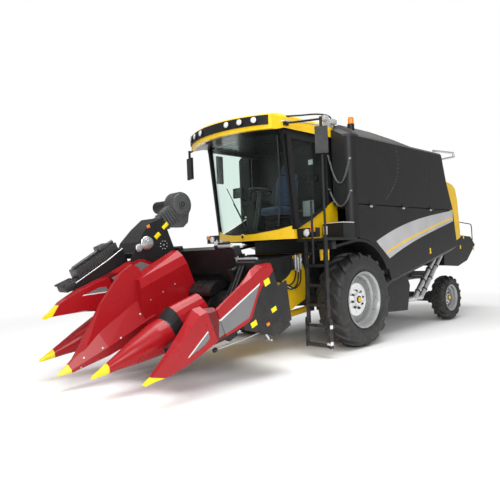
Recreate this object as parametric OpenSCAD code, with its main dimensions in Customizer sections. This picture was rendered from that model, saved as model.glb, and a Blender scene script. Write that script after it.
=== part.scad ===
// Plot combine with a folding four-row maize header. Lengths in mm. Front faces -Y, machine's left is +X.

/* [Wheels] */
// Distance between the front and the rear axle
wheelbase = 3630; // [3500:10:3800]
// Radius of a front tyre over its lugs
front_tyre_r = 770; // [760:1:780]
// Width of a front tyre
front_tyre_w = 480; // [470:5:490]
// Centre line to the mid-plane of a front tyre
front_wheel_x = 1245; // [1240:1:1250]
// Bead seat radius of a front rim
front_seat_r = 432; // [425:1:440]
// Rim width at the front
front_rim_w = 430; // [420:1:440]
// Radius of a rear tyre over its lugs
rear_tyre_r = 475; // [465:1:480]
// Width of a rear tyre
rear_tyre_w = 320; // [310:5:330]
// Centre line to the mid-plane of a rear tyre
rear_wheel_x = 1110; // [1100:1:1120]
// Bead seat radius of a rear rim
rear_seat_r = 255; // [250:1:260]
// Rim width at the rear
rear_rim_w = 260; // [250:1:265]
// Height of a tyre lug
lug_h = 42; // [36:1:48]
// Facets around a tyre
tyre_facets = 32; // [28:4:40]
// Gap between a tyre bead and its rim
bead_gap = 0.4; // [0.2:0.1:0.8]

/* [Rear steering] */
// Centre line to a king pin
king_x = 870; // [860:1:880]
// Radius of a king pin
king_r = 30; // [26:1:34]
// Radial clearance of a turning pin
pin_gap = 0.05; // [0.02:0.01:0.1]
// Gap between two pieces that are fixed face to face
seat_gap = 0.3; // [0.1:0.1:0.6]

/* [Body] */
// Half width over the side panels
body_hw = 1380; // [1360:5:1400]
// Thickness of a side panel
panel_t = 40; // [30:1:45]
// Height of the seam under the upper side panels
seam_z = 2340; // [2320:5:2360]
// Height of the crease under the roof
crease_z = 3460; // [3440:5:3480]
// Front face of the body
body_front = -120; // [-130:5:-110]
// Radius of the body's front corners
corner_r = 150; // [140:5:160]
// Front face of the wall behind the cab
wall_y = 130; // [125:5:140]
// Inner face of a front corner column
column_x = 1000; // [995:5:1010]
// Half width of the separator
sep_hw = 620; // [600:5:630]
// Radius of the tow pin hole
tow_r = 16; // [14:0.5:18]
// Rearmost point of the chaff box
tail_y = 5400; // [5300:10:5500]

/* [Cab] */
// Half width of the cab floor
cab_hw = 890; // [880:1:900]
// Top of the cab floor
cab_floor_z = 1950; // [1940:1:1960]
// Underside of the cab roof
cab_top_z = 3490; // [3480:1:3500]
// Radius of the cab's rounded front
cab_front_r = 1688; // [1650:2:1720]
// Foremost point of the cab skirt
cab_front_y = -1295; // [-1305:1:-1285]
// Lean of the windscreen
glass_lean = 7; // [5:0.5:8]
// Half width of the windscreen
glass_hw = 862; // [855:1:866]
// Half width of the cab roof
roof_hw = 980; // [970:1:990]
// Radius of the roof's bowed front
brim_r = 1700; // [1680:5:1720]
// Centre of the roof's bowed front along the machine
brim_y = -150; // [-160:1:-140]
// Door hinge line along the machine
door_y = -220; // [-230:1:-210]
// Door hinge line across the machine
door_x = 945; // [940:1:950]
// Radius of a door hinge pin
door_r = 8; // [6:0.5:9]

/* [Feeder and lift] */
// Lift axis along the machine
lift_y = -480; // [-490:1:-470]
// Lift axis height
lift_z = 1500; // [1490:1:1510]
// Base pin of a lift cylinder along the machine
base_y = -190; // [-195:1:-185]
// Base pin height of a lift cylinder
base_z = 600; // [595:1:605]
// Rod eye of a lift cylinder along the machine
eye_y = -1500; // [-1510:1:-1490]
// Rod eye height of a lift cylinder
eye_z = 480; // [475:1:485]
// Centre line to a lift cylinder
cyl_x = 420; // [410:1:430]
// Radius of a lift cylinder's rod
rod_r = 28; // [26:1:30]

/* [Header] */
// Tilt of the header, front down
header_tilt = 22; // [20:0.5:24]
// Header origin along the machine
header_y = -2200; // [-2210:1:-2190]
// Header origin height
header_z = 1000; // [990:1:1010]
// Fold axis across the machine
fold_x = 975; // [970:1:980]
// Fold axis above the header origin
fold_z = 420; // [415:1:425]
// Radius of a fold pin
fold_r = 24; // [20:1:28]
// Outer face of a wing
wing_x = 1600; // [1590:1:1610]
// Spacing of the rows
row_pitch = 750; // [740:1:760]
// Radius of the auger tube
auger_tube_r = 130; // [120:1:140]
// Radius over the auger flights
auger_r = 220; // [212:1:224]

/* [Ladder] */
// Front face of the ladder
ladder_y = -1090; // [-1095:1:-1085]
// Inner ladder rail across the machine
ladder_x0 = 1125; // [1120:1:1130]
// Outer ladder rail across the machine
ladder_x1 = 1500; // [1495:1:1505]
// Height of the lower section's hinge
flip_z = 560; // [550:1:570]
// Radius of the lower section's hinge pins
flip_r = 14; // [10:1:18]

/* [Hidden] */
$fn = 48;
snout_y = -2417;
snout_z = 125;
front_y = header_y + snout_y * cos(header_tilt) - snout_z * sin(header_tilt);
origin_y = (front_y + tail_y) / 2;
fold_clear = 10;
flight_pitch = 400;
journal_r = 40;
auger_y = -190;
auger_z = -60;
tow_y = wheelbase + 290;
lid_front = body_front + corner_r + 5;
// y and lower edge of a wing's rear hood, which is the upper edge of the end sheet under it
hood_foot = [[-705, -22], [-590, -22], [-513, 14], [-336, 186], [-219, 267], [-100, 312], [54, 370]];
hinge_ys = [420, 1500, 2560];
door_hinge_zs = [2520, 3200];
door_outline = [[-1055, 1962], [-985, 1976], [-640, 2112], [-245, 2315], [-245, 3420], [-1180, 3420]];
door_window = [[-965, 2040], [-640, 2170], [-315, 2340], [-315, 3350], [-1095, 3350]];
front_disc_x = 50;
rear_disc_x = 20;
cyl_len = sqrt(pow(eye_y - base_y, 2) + pow(eye_z - base_z, 2));
cyl_tilt = atan2(eye_z - base_z, -(eye_y - base_y));

// Flat outline in (y, z) made into a plate between two x values
module plate_yz(x0, x1, outline) {
  translate([min(x0, x1), 0, 0]) rotate([90, 0, 90]) linear_extrude(abs(x1 - x0)) polygon(outline);
}

// Block between two corners
module block(low, high) {
  translate(low) cube(high - low);
}

// Round bar from one point to another
module bar(p, q, r) {
  d = q - p;
  l = norm(d);
  translate(p) rotate([0, acos(d.z / l), atan2(d.y, d.x)]) cylinder(r = r, h = l);
}

// Round bar along x
module x_bar(x0, x1, r, y, z) {
  translate([min(x0, x1), y, z]) rotate([0, 90, 0]) cylinder(r = r, h = abs(x1 - x0));
}

// One piece and its mirror image on the right side
module both_sides() {
  children();
  mirror([1, 0, 0]) children();
}

// Skin through rings of equal point count, from the front to the rear
module loft(rings) {
  n = len(rings[0]);
  m = len(rings);
  points = [for (ring = rings) each ring];
  first = [[for (i = [n - 1:-1:0]) i]];
  last = [[for (i = [0:n - 1]) (m - 1) * n + i]];
  sides = [for (j = [0:m - 2], i = [0:n - 1])
    let (p = j * n + i, q = j * n + (i + 1) % n)
    each [[p, q, q + n], [p, q + n, p + n]]];
  polyhedron(points, concat(first, last, sides));
}

// Rounded cross section at y: width w about x, from z0 to z1, narrowed by taper towards the top
function tent(x, y, w, z0, z1, taper, n = 12) =
  [for (i = [0:n - 1])
    let (a = 360 * (i + 0.5) / n, s = sin(a), t = (s + 1) / 2)
    [x + w / 2 * cos(a) * (1 - taper * t), y, (z0 + z1) / 2 + (z1 - z0) / 2 * s]];

// Header frame of reference
module in_header() {
  translate([0, header_y, header_z]) rotate([header_tilt, 0, 0]) children();
}

// Left wing as drawn, and the right wing as it lies folded
module right_folded() {
  in_header() translate([-fold_x, 0, fold_z]) rotate([0, 180, 0]) translate([fold_x, 0, -fold_z])
    mirror([1, 0, 0]) children();
}

// Lugged tyre about x with its outer face at +x
module tyre(r, w, seat_r, rim_w, count) {
  base = r - lug_h;
  flange = seat_r + 25;
  bead = seat_r + bead_gap;
  half = [[bead, rim_w / 2 - 22], [flange + 14, rim_w / 2 - 22], [flange + 50, w / 2 - 12],
    [(flange + base) / 2 + 20, w / 2], [base - 60, w / 2 - 8], [base - 6, w / 2 - 62]];
  outline = concat(half, [for (i = [len(half) - 1:-1:0]) [half[i].x, -half[i].y]]);
  rotate([0, 90, 0]) {
    rotate_extrude($fn = tyre_facets) polygon(outline);
    for (i = [0:count - 1]) {
      rotate([0, 0, 360 * i / count]) lug(r, w, base);
      rotate([0, 0, 360 * (i + 0.5) / count]) mirror([0, 0, 1]) lug(r, w, base);
    }
  }
}

// One slanted lug, from the crown to the shoulder
module lug(r, w, base) {
  sweep = 17;
  // angle, axial place, half thickness, foot radius, top radius
  ends = [[0, 6, 20, base - 14, r], [sweep, w / 2 - 6, 30, base - 66, r - 16]];
  points = [for (e = ends, c = [[3, -1], [4, -1], [4, 1], [3, 1]])
    [e[c[0]] * cos(e[0]) - c[1] * e[2] * sin(e[0]), e[c[0]] * sin(e[0]) + c[1] * e[2] * cos(e[0]), e[1]]];
  polyhedron(points, [[0, 1, 2, 3], [7, 6, 5, 4], [1, 0, 4, 5], [2, 1, 5, 6], [3, 2, 6, 7], [0, 3, 7, 4]]);
}

// Steel rim about x, outer side at +x, with a dished disc, hub boss and studs
module rim(seat_r, rim_w, disc_x, disc_r, hub_r, studs, stud_pcr) {
  f = seat_r + 25;
  h = rim_w / 2;
  well = seat_r - 34;
  t = 12;
  outline = [[f, h], [f, h - 14], [seat_r, h - 20], [seat_r, 0.42 * h], [well, 0.3 * h], [well, -0.44 * h],
    [seat_r, -0.56 * h], [seat_r, -h + 20], [f, -h + 14], [f, -h], [f - 13, -h], [seat_r - t, -h + 26],
    [seat_r - t, -0.56 * h - 5], [well - t, -0.44 * h - 5], [well - t, 0.3 * h + 5],
    [seat_r - t, 0.42 * h + 5], [seat_r - t, h - 26], [f - 13, h]];
  disc = [[0, disc_x], [disc_r, disc_x], [well - 6, disc_x - 45], [well - 6, disc_x - 59],
    [disc_r - 4, disc_x - 14], [0, disc_x - 14]];
  rotate([0, 90, 0]) {
    rotate_extrude($fn = 96) polygon(outline);
    rotate_extrude($fn = 96) polygon(disc);
    translate([0, 0, disc_x - 5]) cylinder(r = hub_r, h = 50);
    translate([0, 0, disc_x + 40]) cylinder(r = hub_r * 0.42, h = 23);
    for (i = [0:studs - 1])
      rotate([0, 0, 360 * (i + 0.5) / studs]) translate([stud_pcr, 0, disc_x - 5]) cylinder(r = 15, h = 35);
  }
}

module front_left_tyre() color("#1b1b1c")
  translate([front_wheel_x, 0, front_tyre_r]) tyre(front_tyre_r, front_tyre_w, front_seat_r, front_rim_w, 18);

module front_left_rim() color("#c9cbcc")
  translate([front_wheel_x, 0, front_tyre_r]) rim(front_seat_r, front_rim_w, front_disc_x, 265, 95, 8, 145);

module front_right_tyre() mirror([1, 0, 0]) front_left_tyre();

module front_right_rim() mirror([1, 0, 0]) front_left_rim();

module rear_left_tyre() color("#1b1b1c")
  translate([rear_wheel_x, wheelbase, rear_tyre_r])
    tyre(rear_tyre_r, rear_tyre_w, rear_seat_r, rear_rim_w, 16);

module rear_left_rim() color("#c9cbcc")
  translate([rear_wheel_x, wheelbase, rear_tyre_r])
    rim(rear_seat_r, rear_rim_w, rear_disc_x, 150, 70, 6, 105);

module rear_right_tyre() mirror([1, 0, 0]) rear_left_tyre();

module rear_right_rim() mirror([1, 0, 0]) rear_left_rim();

// Knuckle: king pin, swivel body, wheel spindle and steering arm
module rear_left_knuckle() color("#1d1d1f") {
  z = rear_tyre_r;
  translate([king_x, wheelbase, z - 150]) cylinder(r = king_r, h = 300);
  translate([king_x, wheelbase, z - 78]) cylinder(r = 55, h = 156);
  x_bar(king_x, rear_wheel_x + rear_disc_x - 14 - seat_gap, 46, wheelbase, z);
  block([king_x - 22, wheelbase + 30, z - 20], [king_x + 22, wheelbase + 210, z + 20]);
}

module rear_right_knuckle() mirror([1, 0, 0]) rear_left_knuckle();

// Rear axle: beam, forked ends that hold the king pins, and the steering cylinder
module rear_axle() color("#1d1d1f") {
  z = rear_tyre_r;
  difference() {
    union() {
      block([-780, wheelbase - 75, z - 90], [780, wheelbase + 75, z + 100]);
      both_sides() {
        for (low = [z - 128, z + 84]) {
          block([760, wheelbase - 60, low], [king_x, wheelbase + 60, low + 44]);
          translate([king_x, wheelbase, low]) cylinder(r = 60, h = 44);
        }
        block([720, wheelbase - 50, z - 128], [775, wheelbase + 50, z + 128]);
      }
    }
    both_sides() translate([king_x, wheelbase, 0]) cylinder(r = king_r + pin_gap, h = 2 * z);
  }
  x_bar(-330, 330, 48, wheelbase + 165, z);
  x_bar(-620, 620, 20, wheelbase + 165, z);
  for (x = [-300, 300])
    block([x - 30, wheelbase + 70, z - 40], [x + 30, wheelbase + 165, z + 40]);
}

// Front axle: beam, final drives and the lugs that hold the lift cylinders
module front_axle() color("#1d1d1f") {
  block([-900, -110, 650], [900, 110, 830]);
  both_sides() {
    x_bar(850, front_wheel_x + front_disc_x - 14 - seat_gap, 150, 0, front_tyre_r);
    x_bar(880, 1060, 200, 0, front_tyre_r);
    for (k = [-1, 1])
      block([cyl_x + k * 48 - 10, base_y - 45, base_z - 45], [cyl_x + k * 48 + 10, -100, 700]);
    x_bar(cyl_x - 58, cyl_x + 58, 22, base_y, base_z);
  }
}

// Chassis: two rails, rear cross member with the axle post, and the feeder pivots
module chassis_rails() color("#1d1d1f") {
  inner = sep_hw + seat_gap;
  both_sides() {
    block([inner, -380, 905], [inner + 100, 3900, 1045]);
    block([inner, -105, 830 + seat_gap], [inner + 100, 105, 905]);
    difference() {
      plate_yz(sep_hw + 12, sep_hw + 72, [[-380, 1000], [-120, 1000], [-360, 1575], [-565, 1575],
        [-565, 1420]]);
      x_bar(0, 2000, 36 + pin_gap, lift_y, lift_z);
    }
  }
  block([-inner - 10, wheelbase - 90, 905], [inner + 10, wheelbase + 90, 1045]);
  block([-130, wheelbase - 70, rear_tyre_r + 100 + seat_gap], [130, wheelbase + 70, 905]);
  difference() {
    block([-70, wheelbase + 80, 955], [70, tow_y + 50, 995]);
    translate([0, tow_y, 900]) cylinder(r = tow_r, h = 200);
  }
}

// Separator: threshing and straw walker housing between the rails
module separator_body() color("#26272a") {
  plate_yz(-sep_hw, sep_hw, [[-420, 1250], [-420, 1800], [130, 1800], [130, 2300], [3350, 2300], [3700, 1950],
    [3700, 1480], [2700, 1110], [1900, 870], [350, 870], [150, 900], [-150, 1000]]);
}

module engine_block() color("#3a3c3e")
  block([-450, 1900, 2338 + seat_gap], [450, 2900, 3050]);

// Deck on the separator with the wall behind the cab and the slanted rear wall
module body_deck() color("#202124") {
  w = body_hw - panel_t - 0.5;
  block([-w + 6, wall_y, 2300 + seat_gap], [w - 6, 3490, 2338]);
  both_sides() block([w - 50, 200, 2338], [w, 3380, 2400]);
  block([-w + 6, wall_y, 2330], [w - 6, wall_y + 40, crease_z - 1]);
  plate_yz(-w, w, [[3060, 3450], [3100, 3450], [3280, 2920], [3490, 2470], [3490, 2330], [3440, 2330],
    [3440, 2470], [3238, 2905]]);
}

// Upper side panels with rounded front corners that reach down to the platform, and the seam hinges
module upper_sides() color("#17181a")
  both_sides() {
    x = body_hw - panel_t;
    bottom = seam_z + 6;
    foot = 1790;
    front = body_front + corner_r;
    plate_yz(x, body_hw, [[front, bottom], [front, crease_z], [3105, crease_z], [3285, 2920], [3548, bottom]]);
    translate([body_hw - corner_r, body_front + corner_r, foot]) rotate([0, 0, -90])
      rotate_extrude(angle = 90) translate([corner_r - panel_t, 0]) square([panel_t, crease_z - foot]);
    block([column_x, body_front, bottom], [body_hw - corner_r, body_front + panel_t, crease_z]);
    block([column_x, body_front, bottom], [column_x + panel_t, wall_y - seat_gap, crease_z]);
    // y, half width at the crease, height
    loft([for (r = [[body_front, body_hw - corner_r, 3620], [-60, 1345, 3665], [30, body_hw, 3710],
      [wall_y, body_hw, 3735]])
      let (y = r[0], a = r[1], z = r[2], c = column_x, base = crease_z - 2)
      [[a, y, base], [a - 25, y, base + 42], [c + 20, y, z - 10], [c, y, z - 20], [c, y, base]]]);
    for (y = hinge_ys) {
      translate([body_hw + 12, y - 60, seam_z]) rotate([-90, 0, 0]) cylinder(r = 12, h = 120);
      block([body_hw - 5, y - 60, seam_z + 4], [body_hw + 10, y + 60, seam_z + 50]);
    }
  }

// Roof sheet, crowned and falling to the rear
module roof_cover() color("#202124") {
  // y, half width at the crease, half width of the flat top, height of the top
  rows = [[wall_y + seat_gap, 1380, 980, 3735], [400, 1380, 980, 3745], [1100, 1380, 980, 3745],
    [1900, 1380, 990, 3700], [2600, 1380, 1020, 3620], [3105, 1380, 1060, 3530]];
  t = 36;
  base = crease_z + seat_gap;
  difference() {
    loft([for (r = rows) let (y = r[0], a = r[1], b = r[2], z = r[3])
      [[a, y, base], [a - 30, y, base + 40], [b, y, z], [-b, y, z], [-a + 30, y, base + 40], [-a, y, base]]]);
    loft([for (i = [0:len(rows) - 1]) let (r = rows[i], a = r[1] - 2 * t, b = r[2] - 15, z = r[3] - t,
      y = r[0] + (i == 0 ? -5 : i == len(rows) - 1 ? 5 : 0))
      [[a, y, base - 5], [b, y, z], [-b, y, z], [-a, y, base - 5]]]);
  }
}

// Lower side lid that swings up about the seam, with its hinge knuckles and the chamfer under its edge
module left_lid() color("#17181a") {
  low = [988, 1030];
  high = [3688, 1588];
  difference() {
    plate_yz(body_hw - panel_t, body_hw, [[lid_front, 1500], [lid_front, seam_z - 12], [3548, seam_z - 12],
      high, low, [600, 1000]]);
    x_bar(1000, 2000, 1005, 0, front_tyre_r);
  }
  x = body_hw - 4;
  translate([0, high.x, high.y]) rotate([atan2(high.y - low.y, high.x - low.x), 0, 0]) rotate([90, 0, 0])
    linear_extrude(norm(high - low)) polygon([[x, -6], [x, 10], [x - 146, -100], [x - 146, -116]]);
  for (y = hinge_ys) {
    translate([body_hw + 12, y + 60 + seat_gap, seam_z]) rotate([-90, 0, 0]) cylinder(r = 12, h = 50);
    block([body_hw - 5, y + 60 + seat_gap, seam_z - 60], [body_hw + 10, y + 110, seam_z - 5]);
  }
}

module right_lid() mirror([1, 0, 0]) left_lid();

// Wheel guards over the front tyres, and the lower skirts behind them
module wheel_guards() color("#17181a")
  both_sides() {
    arc = [for (a = [28:8:100]) [cos(a), sin(a)]];
    plate_yz(1000, 1385, concat([for (p = arc) [998 * p.x, front_tyre_r + 998 * p.y]],
      [[-800, 1645], [-800, 1605]],
      [for (i = [len(arc) - 1:-1:0]) [950 * arc[i].x, front_tyre_r + 950 * arc[i].y]]));
    block([sep_hw + seat_gap, 600, 1180], [1000, 680, 1230]);
    block([930, 600, 1180], [1000, 860, 1230]);
    block([990, 820, 1190], [1010, 870, 1234]);
    plate_yz(1120, 1150, [[900, 470], [1100, 425], [1911, 382], [2029, 856], [1900, 1100], [900, 1100]]);
    for (y = [1000, 1800])
      block([sep_hw + 100 + 2 * seat_gap, y, 960], [1125, y + 60, 1020]);
  }

// Yellow straw hood behind the body
module rear_hood() color("#e8b416") {
  side = [[3320, 2950], [3724, 2975], [3960, 2930], [4108, 2846], [4190, 2604], [4290, 1774], [3760, 1600],
    [3590, 2330]];
  both_sides() plate_yz(1170, 1200, side);
  plate_yz(-1171, 1171, [[3320, 2950], [3724, 2975], [3960, 2930], [4108, 2846], [4190, 2604], [4290, 1774],
    [4258, 1768], [4160, 2594], [4084, 2826], [3950, 2900], [3722, 2945], [3330, 2920]]);
  block([-1171, 3700 + seat_gap, 1480], [1171, 3730, 2200]);
}

// Black chaff box under the hood, open below
module chaff_box() color("#1b1c1f") {
  difference() {
    plate_yz(-1060, 1060, [[3730 + seat_gap, 1585], [4255, 1755], [4495, 1824], [5150, 1790], [tail_y, 1591],
      [4928, 1234], [4425, 1116], [3730 + seat_gap, 1160]]);
    plate_yz(-1030, 1030, [[3770, 1565], [4490, 1790], [5135, 1758], [5352, 1590], [4900, 1250], [4700, 900],
      [3770, 900]]);
    block([-1030, 3770, 1400], [1030, 4250, 1900]);
  }
}

// Silver conveying tubes on the left side, and the rails at the rear of the body
module side_tubes() color("#c5c8ca") {
  // y and z of the lower end, y and z of the upper end
  runs = [[2160, 580, 3070, 1340], [2440, 585, 3390, 1410]];
  for (r = runs) {
    bar([1150, r[0], r[1]], [1150, r[2], r[3]], 48);
    translate([1150, r[0], r[1]]) sphere(r = 53);
    bar([1150, r[0], r[1]], [1000, r[0] - 260, r[1] - 20], 48);
  }
  for (r = runs)
    x_bar(sep_hw + 100 + 2 * seat_gap, 1150, 20, (r[0] + r[2]) / 2, (r[1] + r[3]) / 2);
  both_sides() {
    bar([1310, 2900, 3545], [1310, 3830, 3600], 22);
    translate([1310, 3830, 3600]) sphere(r = 26);
    bar([1310, 3830, 3600], [1310, 3860, 3520], 22);
    translate([1310, 3860, 3520]) sphere(r = 26);
    bar([1310, 3860, 3520], [1310, 3190, 3390], 22);
    plate_yz(1280, body_hw - panel_t - 5, [[3141.2, 3330], [3240, 3330], [3240, 3420], [3110.7, 3420]]);
  }
}

// Cab frame: floor on blocks, rear wall, front pillars, rear quarters and right sill
module cab_frame() color("#18191b") {
  intersection() {
    translate([0, cab_front_y + cab_front_r, cab_floor_z - 60])
      cylinder(r = cab_front_r - 32, h = 60, $fn = 96);
    block([-cab_hw + 1, -1400, 0], [cab_hw - 1, 90, 4000]);
  }
  block([-920, 50, 2510], [920, 90, cab_top_z - seat_gap]);
  block([-cab_hw + 1, 50, cab_floor_z - 60], [cab_hw - 1, 90, 2520]);
  for (x = [-500, 500], y = [-380, 20])
    block([x - 60, y, 1800 + seat_gap], [x + 60, y + 60, cab_floor_z - 50]);
  both_sides() {
    plate_yz(870, 910, [[-1045, cab_floor_z], [-985, cab_floor_z], [-1140, cab_top_z - seat_gap],
      [-1225, cab_top_z - seat_gap]]);
    plate_yz(893, 920, [[-150, 2390], [60, 2510], [60, cab_top_z - seat_gap], [-150, cab_top_z - seat_gap]]);
    block([glass_hw + seat_gap, -1225, 3430], [910, 60, cab_top_z - seat_gap]);
  }
  for (z = door_hinge_zs) {
    block([915, door_y - 16, z + 60 + seat_gap], [door_x + 16, -145, z + 82]);
    translate([door_x, door_y, z]) cylinder(r = door_r, h = 80);
  }
}

// Yellow skirt round the cab front, higher at its ends, and the side panels under the glass
module cab_skirt() color("#e8b416") {
  // x and upper edge, from the middle outwards
  edge = [[0, 1900], [264, 1906], [540, 1937], [700, 1960], [844, 1998], [868, 2004], [868, 1944],
    [896, 1944]];
  intersection() {
    translate([0, cab_front_y + cab_front_r, 1750]) difference() {
      cylinder(r = cab_front_r, h = 300, $fn = 96);
      translate([0, 0, -1]) cylinder(r = cab_front_r - 31, h = 302, $fn = 96);
    }
    translate([0, -900, 0]) rotate([90, 0, 0]) linear_extrude(500)
      polygon(concat([[-896, 1798], [896, 1798]], [for (i = [len(edge) - 1:-1:1]) edge[i]], [edge[0]],
        [for (i = [1:len(edge) - 1]) [-edge[i].x, edge[i].y]]));
  }
  both_sides()
    plate_yz(cab_hw + seat_gap, 918, [[-1020, 1798], [-1020, 1944], [-975, 1944], [-640, 2095], [-150, 2350],
      [88, 2490], [88, 1798]]);
}

// Windscreen and the right side window
module cab_glass() color("#5a7f8c") {
  translate([0, -1247, 1953]) rotate([glass_lean, 0, 0]) translate([0, 1640, 0]) intersection() {
    difference() {
      cylinder(r = 1640, h = 1483, $fn = 96);
      translate([0, 0, -1]) cylinder(r = 1628, h = 1500, $fn = 96);
    }
    block([-glass_hw, -1700, -2], [glass_hw, -1000, 1600]);
  }
  rear = -150 - seat_gap;
  top = 3430 - seat_gap;
  plate_yz(-906, -896, [[-965, 1975], [-640, 2112], [rear, 2365], [rear, top], [-1110, top]]);
}

// Yellow roof with a bowed front, a hanging lip and chamfered sides
module cab_roof() color("#e8b416")
  intersection() {
    translate([0, brim_y, 0]) rotate_extrude($fn = 96)
      polygon([[0, cab_top_z], [1480, cab_top_z], [1640, 3440], [brim_r, 3442], [brim_r, 3660],
        [brim_r - 20, 3676], [1500, 3712], [0, 3740]]);
    translate([0, 125, 0]) rotate([90, 0, 0]) linear_extrude(2100)
      polygon([[-roof_hw, 3400], [roof_hw, 3400], [roof_hw, 3655], [940, 3706], [700, 3750], [-700, 3750],
        [-940, 3706], [-roof_hw, 3655]]);
  }

// Lamps: the roof band with its round lamps, the boxes beside the cab, and the beacon
module lamps() color("#141517") {
  translate([0, brim_y, 3504]) intersection() {
    difference() {
      cylinder(r = brim_r + 16, h = 141, $fn = 96);
      translate([0, 0, -1]) cylinder(r = brim_r + seat_gap, h = 143, $fn = 96);
    }
    block([-940, -1800, 0], [940, -1000, 200]);
  }
  for (a = [-26.2, -18.4, -10.6, 10.6, 18.4, 26.2])
    translate([0, brim_y, 3580]) rotate([0, 0, a]) translate([0, -brim_r - seat_gap - 1, 0])
      rotate([90, 0, 0]) cylinder(r = 52, h = 40);
  both_sides() {
    block([925, -1000, 1805], [1300, -900, 1950]);
    translate([1130, -995, 1875]) rotate([90, 0, 0]) cylinder(r = 60, h = 25);
    block([918 + seat_gap, -960, 1850], [930, -900, 1920]);
    block([1205, -1018, 1885], [1290, -995, 1945]);
  }
  intersection() {
    translate([1100, 320, 3600]) cylinder(r = 60, h = 150);
    translate([0, 400, 0]) rotate([90, 0, 0]) linear_extrude(160)
      polygon([[1030, 3712.3], [1170, 3619.8], [1170, 3800], [1030, 3800]]);
  }
  translate([1100, 320, 3740]) cylinder(r = 48, h = 120);
}

// Seat: pedestal, cushion, backrest and head rest
module operator_seat() color("#2b3a52") {
  block([-200, -620, cab_floor_z + seat_gap], [200, -240, 2250]);
  block([-260, -720, 2245], [260, -200, 2400]);
  translate([0, -215, 2390]) rotate([-8, 0, 0]) block([-250, -60, 0], [250, 70, 620]);
  translate([0, -215, 2390]) rotate([-8, 0, 0]) block([-140, -45, 610], [140, 45, 800]);
}

// Steering column with its wheel, and the console beside the seat
module steering_console() color("#232427") {
  bar([0, -980, cab_floor_z + 12], [0, -846, 2650], 45);
  block([-90, -1040, cab_floor_z + seat_gap], [90, -920, 2010]);
  translate([0, -846, 2640]) rotate([-12, 0, 0]) difference() {
    cylinder(r = 200, h = 30);
    translate([0, 0, -1]) cylinder(r = 170, h = 32);
  }
  translate([0, -846, 2640]) rotate([-12, 0, 0]) block([-180, -20, 5], [180, 20, 25]);
  block([-520, -700, cab_floor_z + seat_gap], [-300, -200, 2480]);
  block([-560, -760, 2470], [-300, -300, 2530]);
}

// Platform beside the cab with its box, handrail posts and ladder
module platform() color("#1d1e20") {
  block([925, -1015, 1745], [1520, -240, 1785]);
  block([sep_hw + seat_gap, -405, 1600], [999.5, -335, 1746]);
  block([1000, -440, 1780], [1400, -130, 2030]);
  for (x = [ladder_x0, ladder_x1]) {
    block([x, ladder_y, flip_z - 60], [x + 25, ladder_y + 70, 1785]);
    block([x, ladder_y + 60, 1745], [x + 25, -1000, 1785]);
  }
  for (z = [780, 1075, 1370])
    block([ladder_x0 + 10, ladder_y - 5, z - 20], [ladder_x1 + 15, ladder_y + 75, z + 20]);
  bar([1505, -1040, 1780], [1505, -1040, 3010], 18);
  bar([1290, -1075, 1400], [1290, -1075, 2350], 18);
  x_bar(ladder_x0 + 10, 1300, 14, -1075, 1550);
  x_bar(ladder_x0 - 32, ladder_x0 + 10, flip_r, ladder_y + 35, flip_z);
  x_bar(ladder_x1 + 10, ladder_x1 + 57, flip_r, ladder_y + 35, flip_z);
}

// Flip-up lower ladder section
module ladder_lower() color("#1d1e20") {
  y = ladder_y + 35;
  for (x = [ladder_x0 - 32, ladder_x1 + 32])
    difference() {
      union() {
        block([x, y - 35, 150], [x + 25, y + 35, flip_z]);
        x_bar(x, x + 25, 35, y, flip_z);
      }
      x_bar(x - 5, x + 30, flip_r + pin_gap, y, flip_z);
    }
  block([ladder_x0 - 20, y - 45, 165], [ladder_x1 + 45, y + 45, 205]);
  block([ladder_x0 - 20, y + 26, 440], [ladder_x1 + 45, y + 100, 480]);
}

// Mirror on an arm from the roof, at y along the machine and turned towards the seat
module mirror_arm(y, turn) {
  block([roof_hw + seat_gap, -1290, 3520], [1020, -1200, 3590]);
  bar([1005, -1245, 3555], [1509, y - 17, 3540], 16);
  bar([1509, y - 17, 3572], [1509, y - 17, 3400], 23);
  translate([1495, y, 0]) rotate([0, 0, turn]) block([-96, -45, 3030], [96, 0, 3430]);
}

module mirrors() color("#17181a") {
  mirror_arm(-1030, 38.7);
  mirror([1, 0, 0]) mirror_arm(-1160, 12);
}

// Cab door: frame with a rising lower edge, hinged at its rear
module cab_door_frame() color("#18191b") {
  difference() {
    plate_yz(925, 960, door_outline);
    plate_yz(900, 1000, door_window);
  }
  for (z = door_hinge_zs)
    difference() {
      union() {
        translate([door_x, door_y, z]) cylinder(r = 14, h = 60);
        block([door_x - 10, -250, z], [door_x + 10, door_y, z + 60]);
      }
      translate([door_x, door_y, z - 5]) cylinder(r = door_r + pin_gap, h = 70);
    }
}

module cab_door_glass() color("#5a7f8c")
  plate_yz(937, 945, door_window);

// Feeder house between the separator and the header
module feeder_house() color("#e8b416") {
  c = cos(header_tilt);
  s = sin(header_tilt);
  back = 120 + seat_gap;
  low = -400;
  high = 380;
  plate_yz(-sep_hw, sep_hw, [[-445, 1570], [-505, 800], [-900, 640], [-1500, 610],
    [header_y + back * c - low * s, header_z + back * s + low * c],
    [header_y + back * c - high * s, header_z + back * s + high * c]]);
  both_sides() {
    x_bar(sep_hw - 5, sep_hw + 70, 36, lift_y, lift_z);
    for (k = [-1, 1])
      block([cyl_x + k * 48 - 10, eye_y - 60, eye_z - 50], [cyl_x + k * 48 + 10, eye_y + 60, 640]);
    x_bar(cyl_x - 58, cyl_x + 58, 18, eye_y, eye_z);
  }
}

// Frame along a lift cylinder, from its base pin to its rod eye
module along_cylinder(x) {
  translate([x, base_y, base_z]) rotate([-cyl_tilt, 0, 0]) rotate([90, 0, 0]) children();
}

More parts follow.
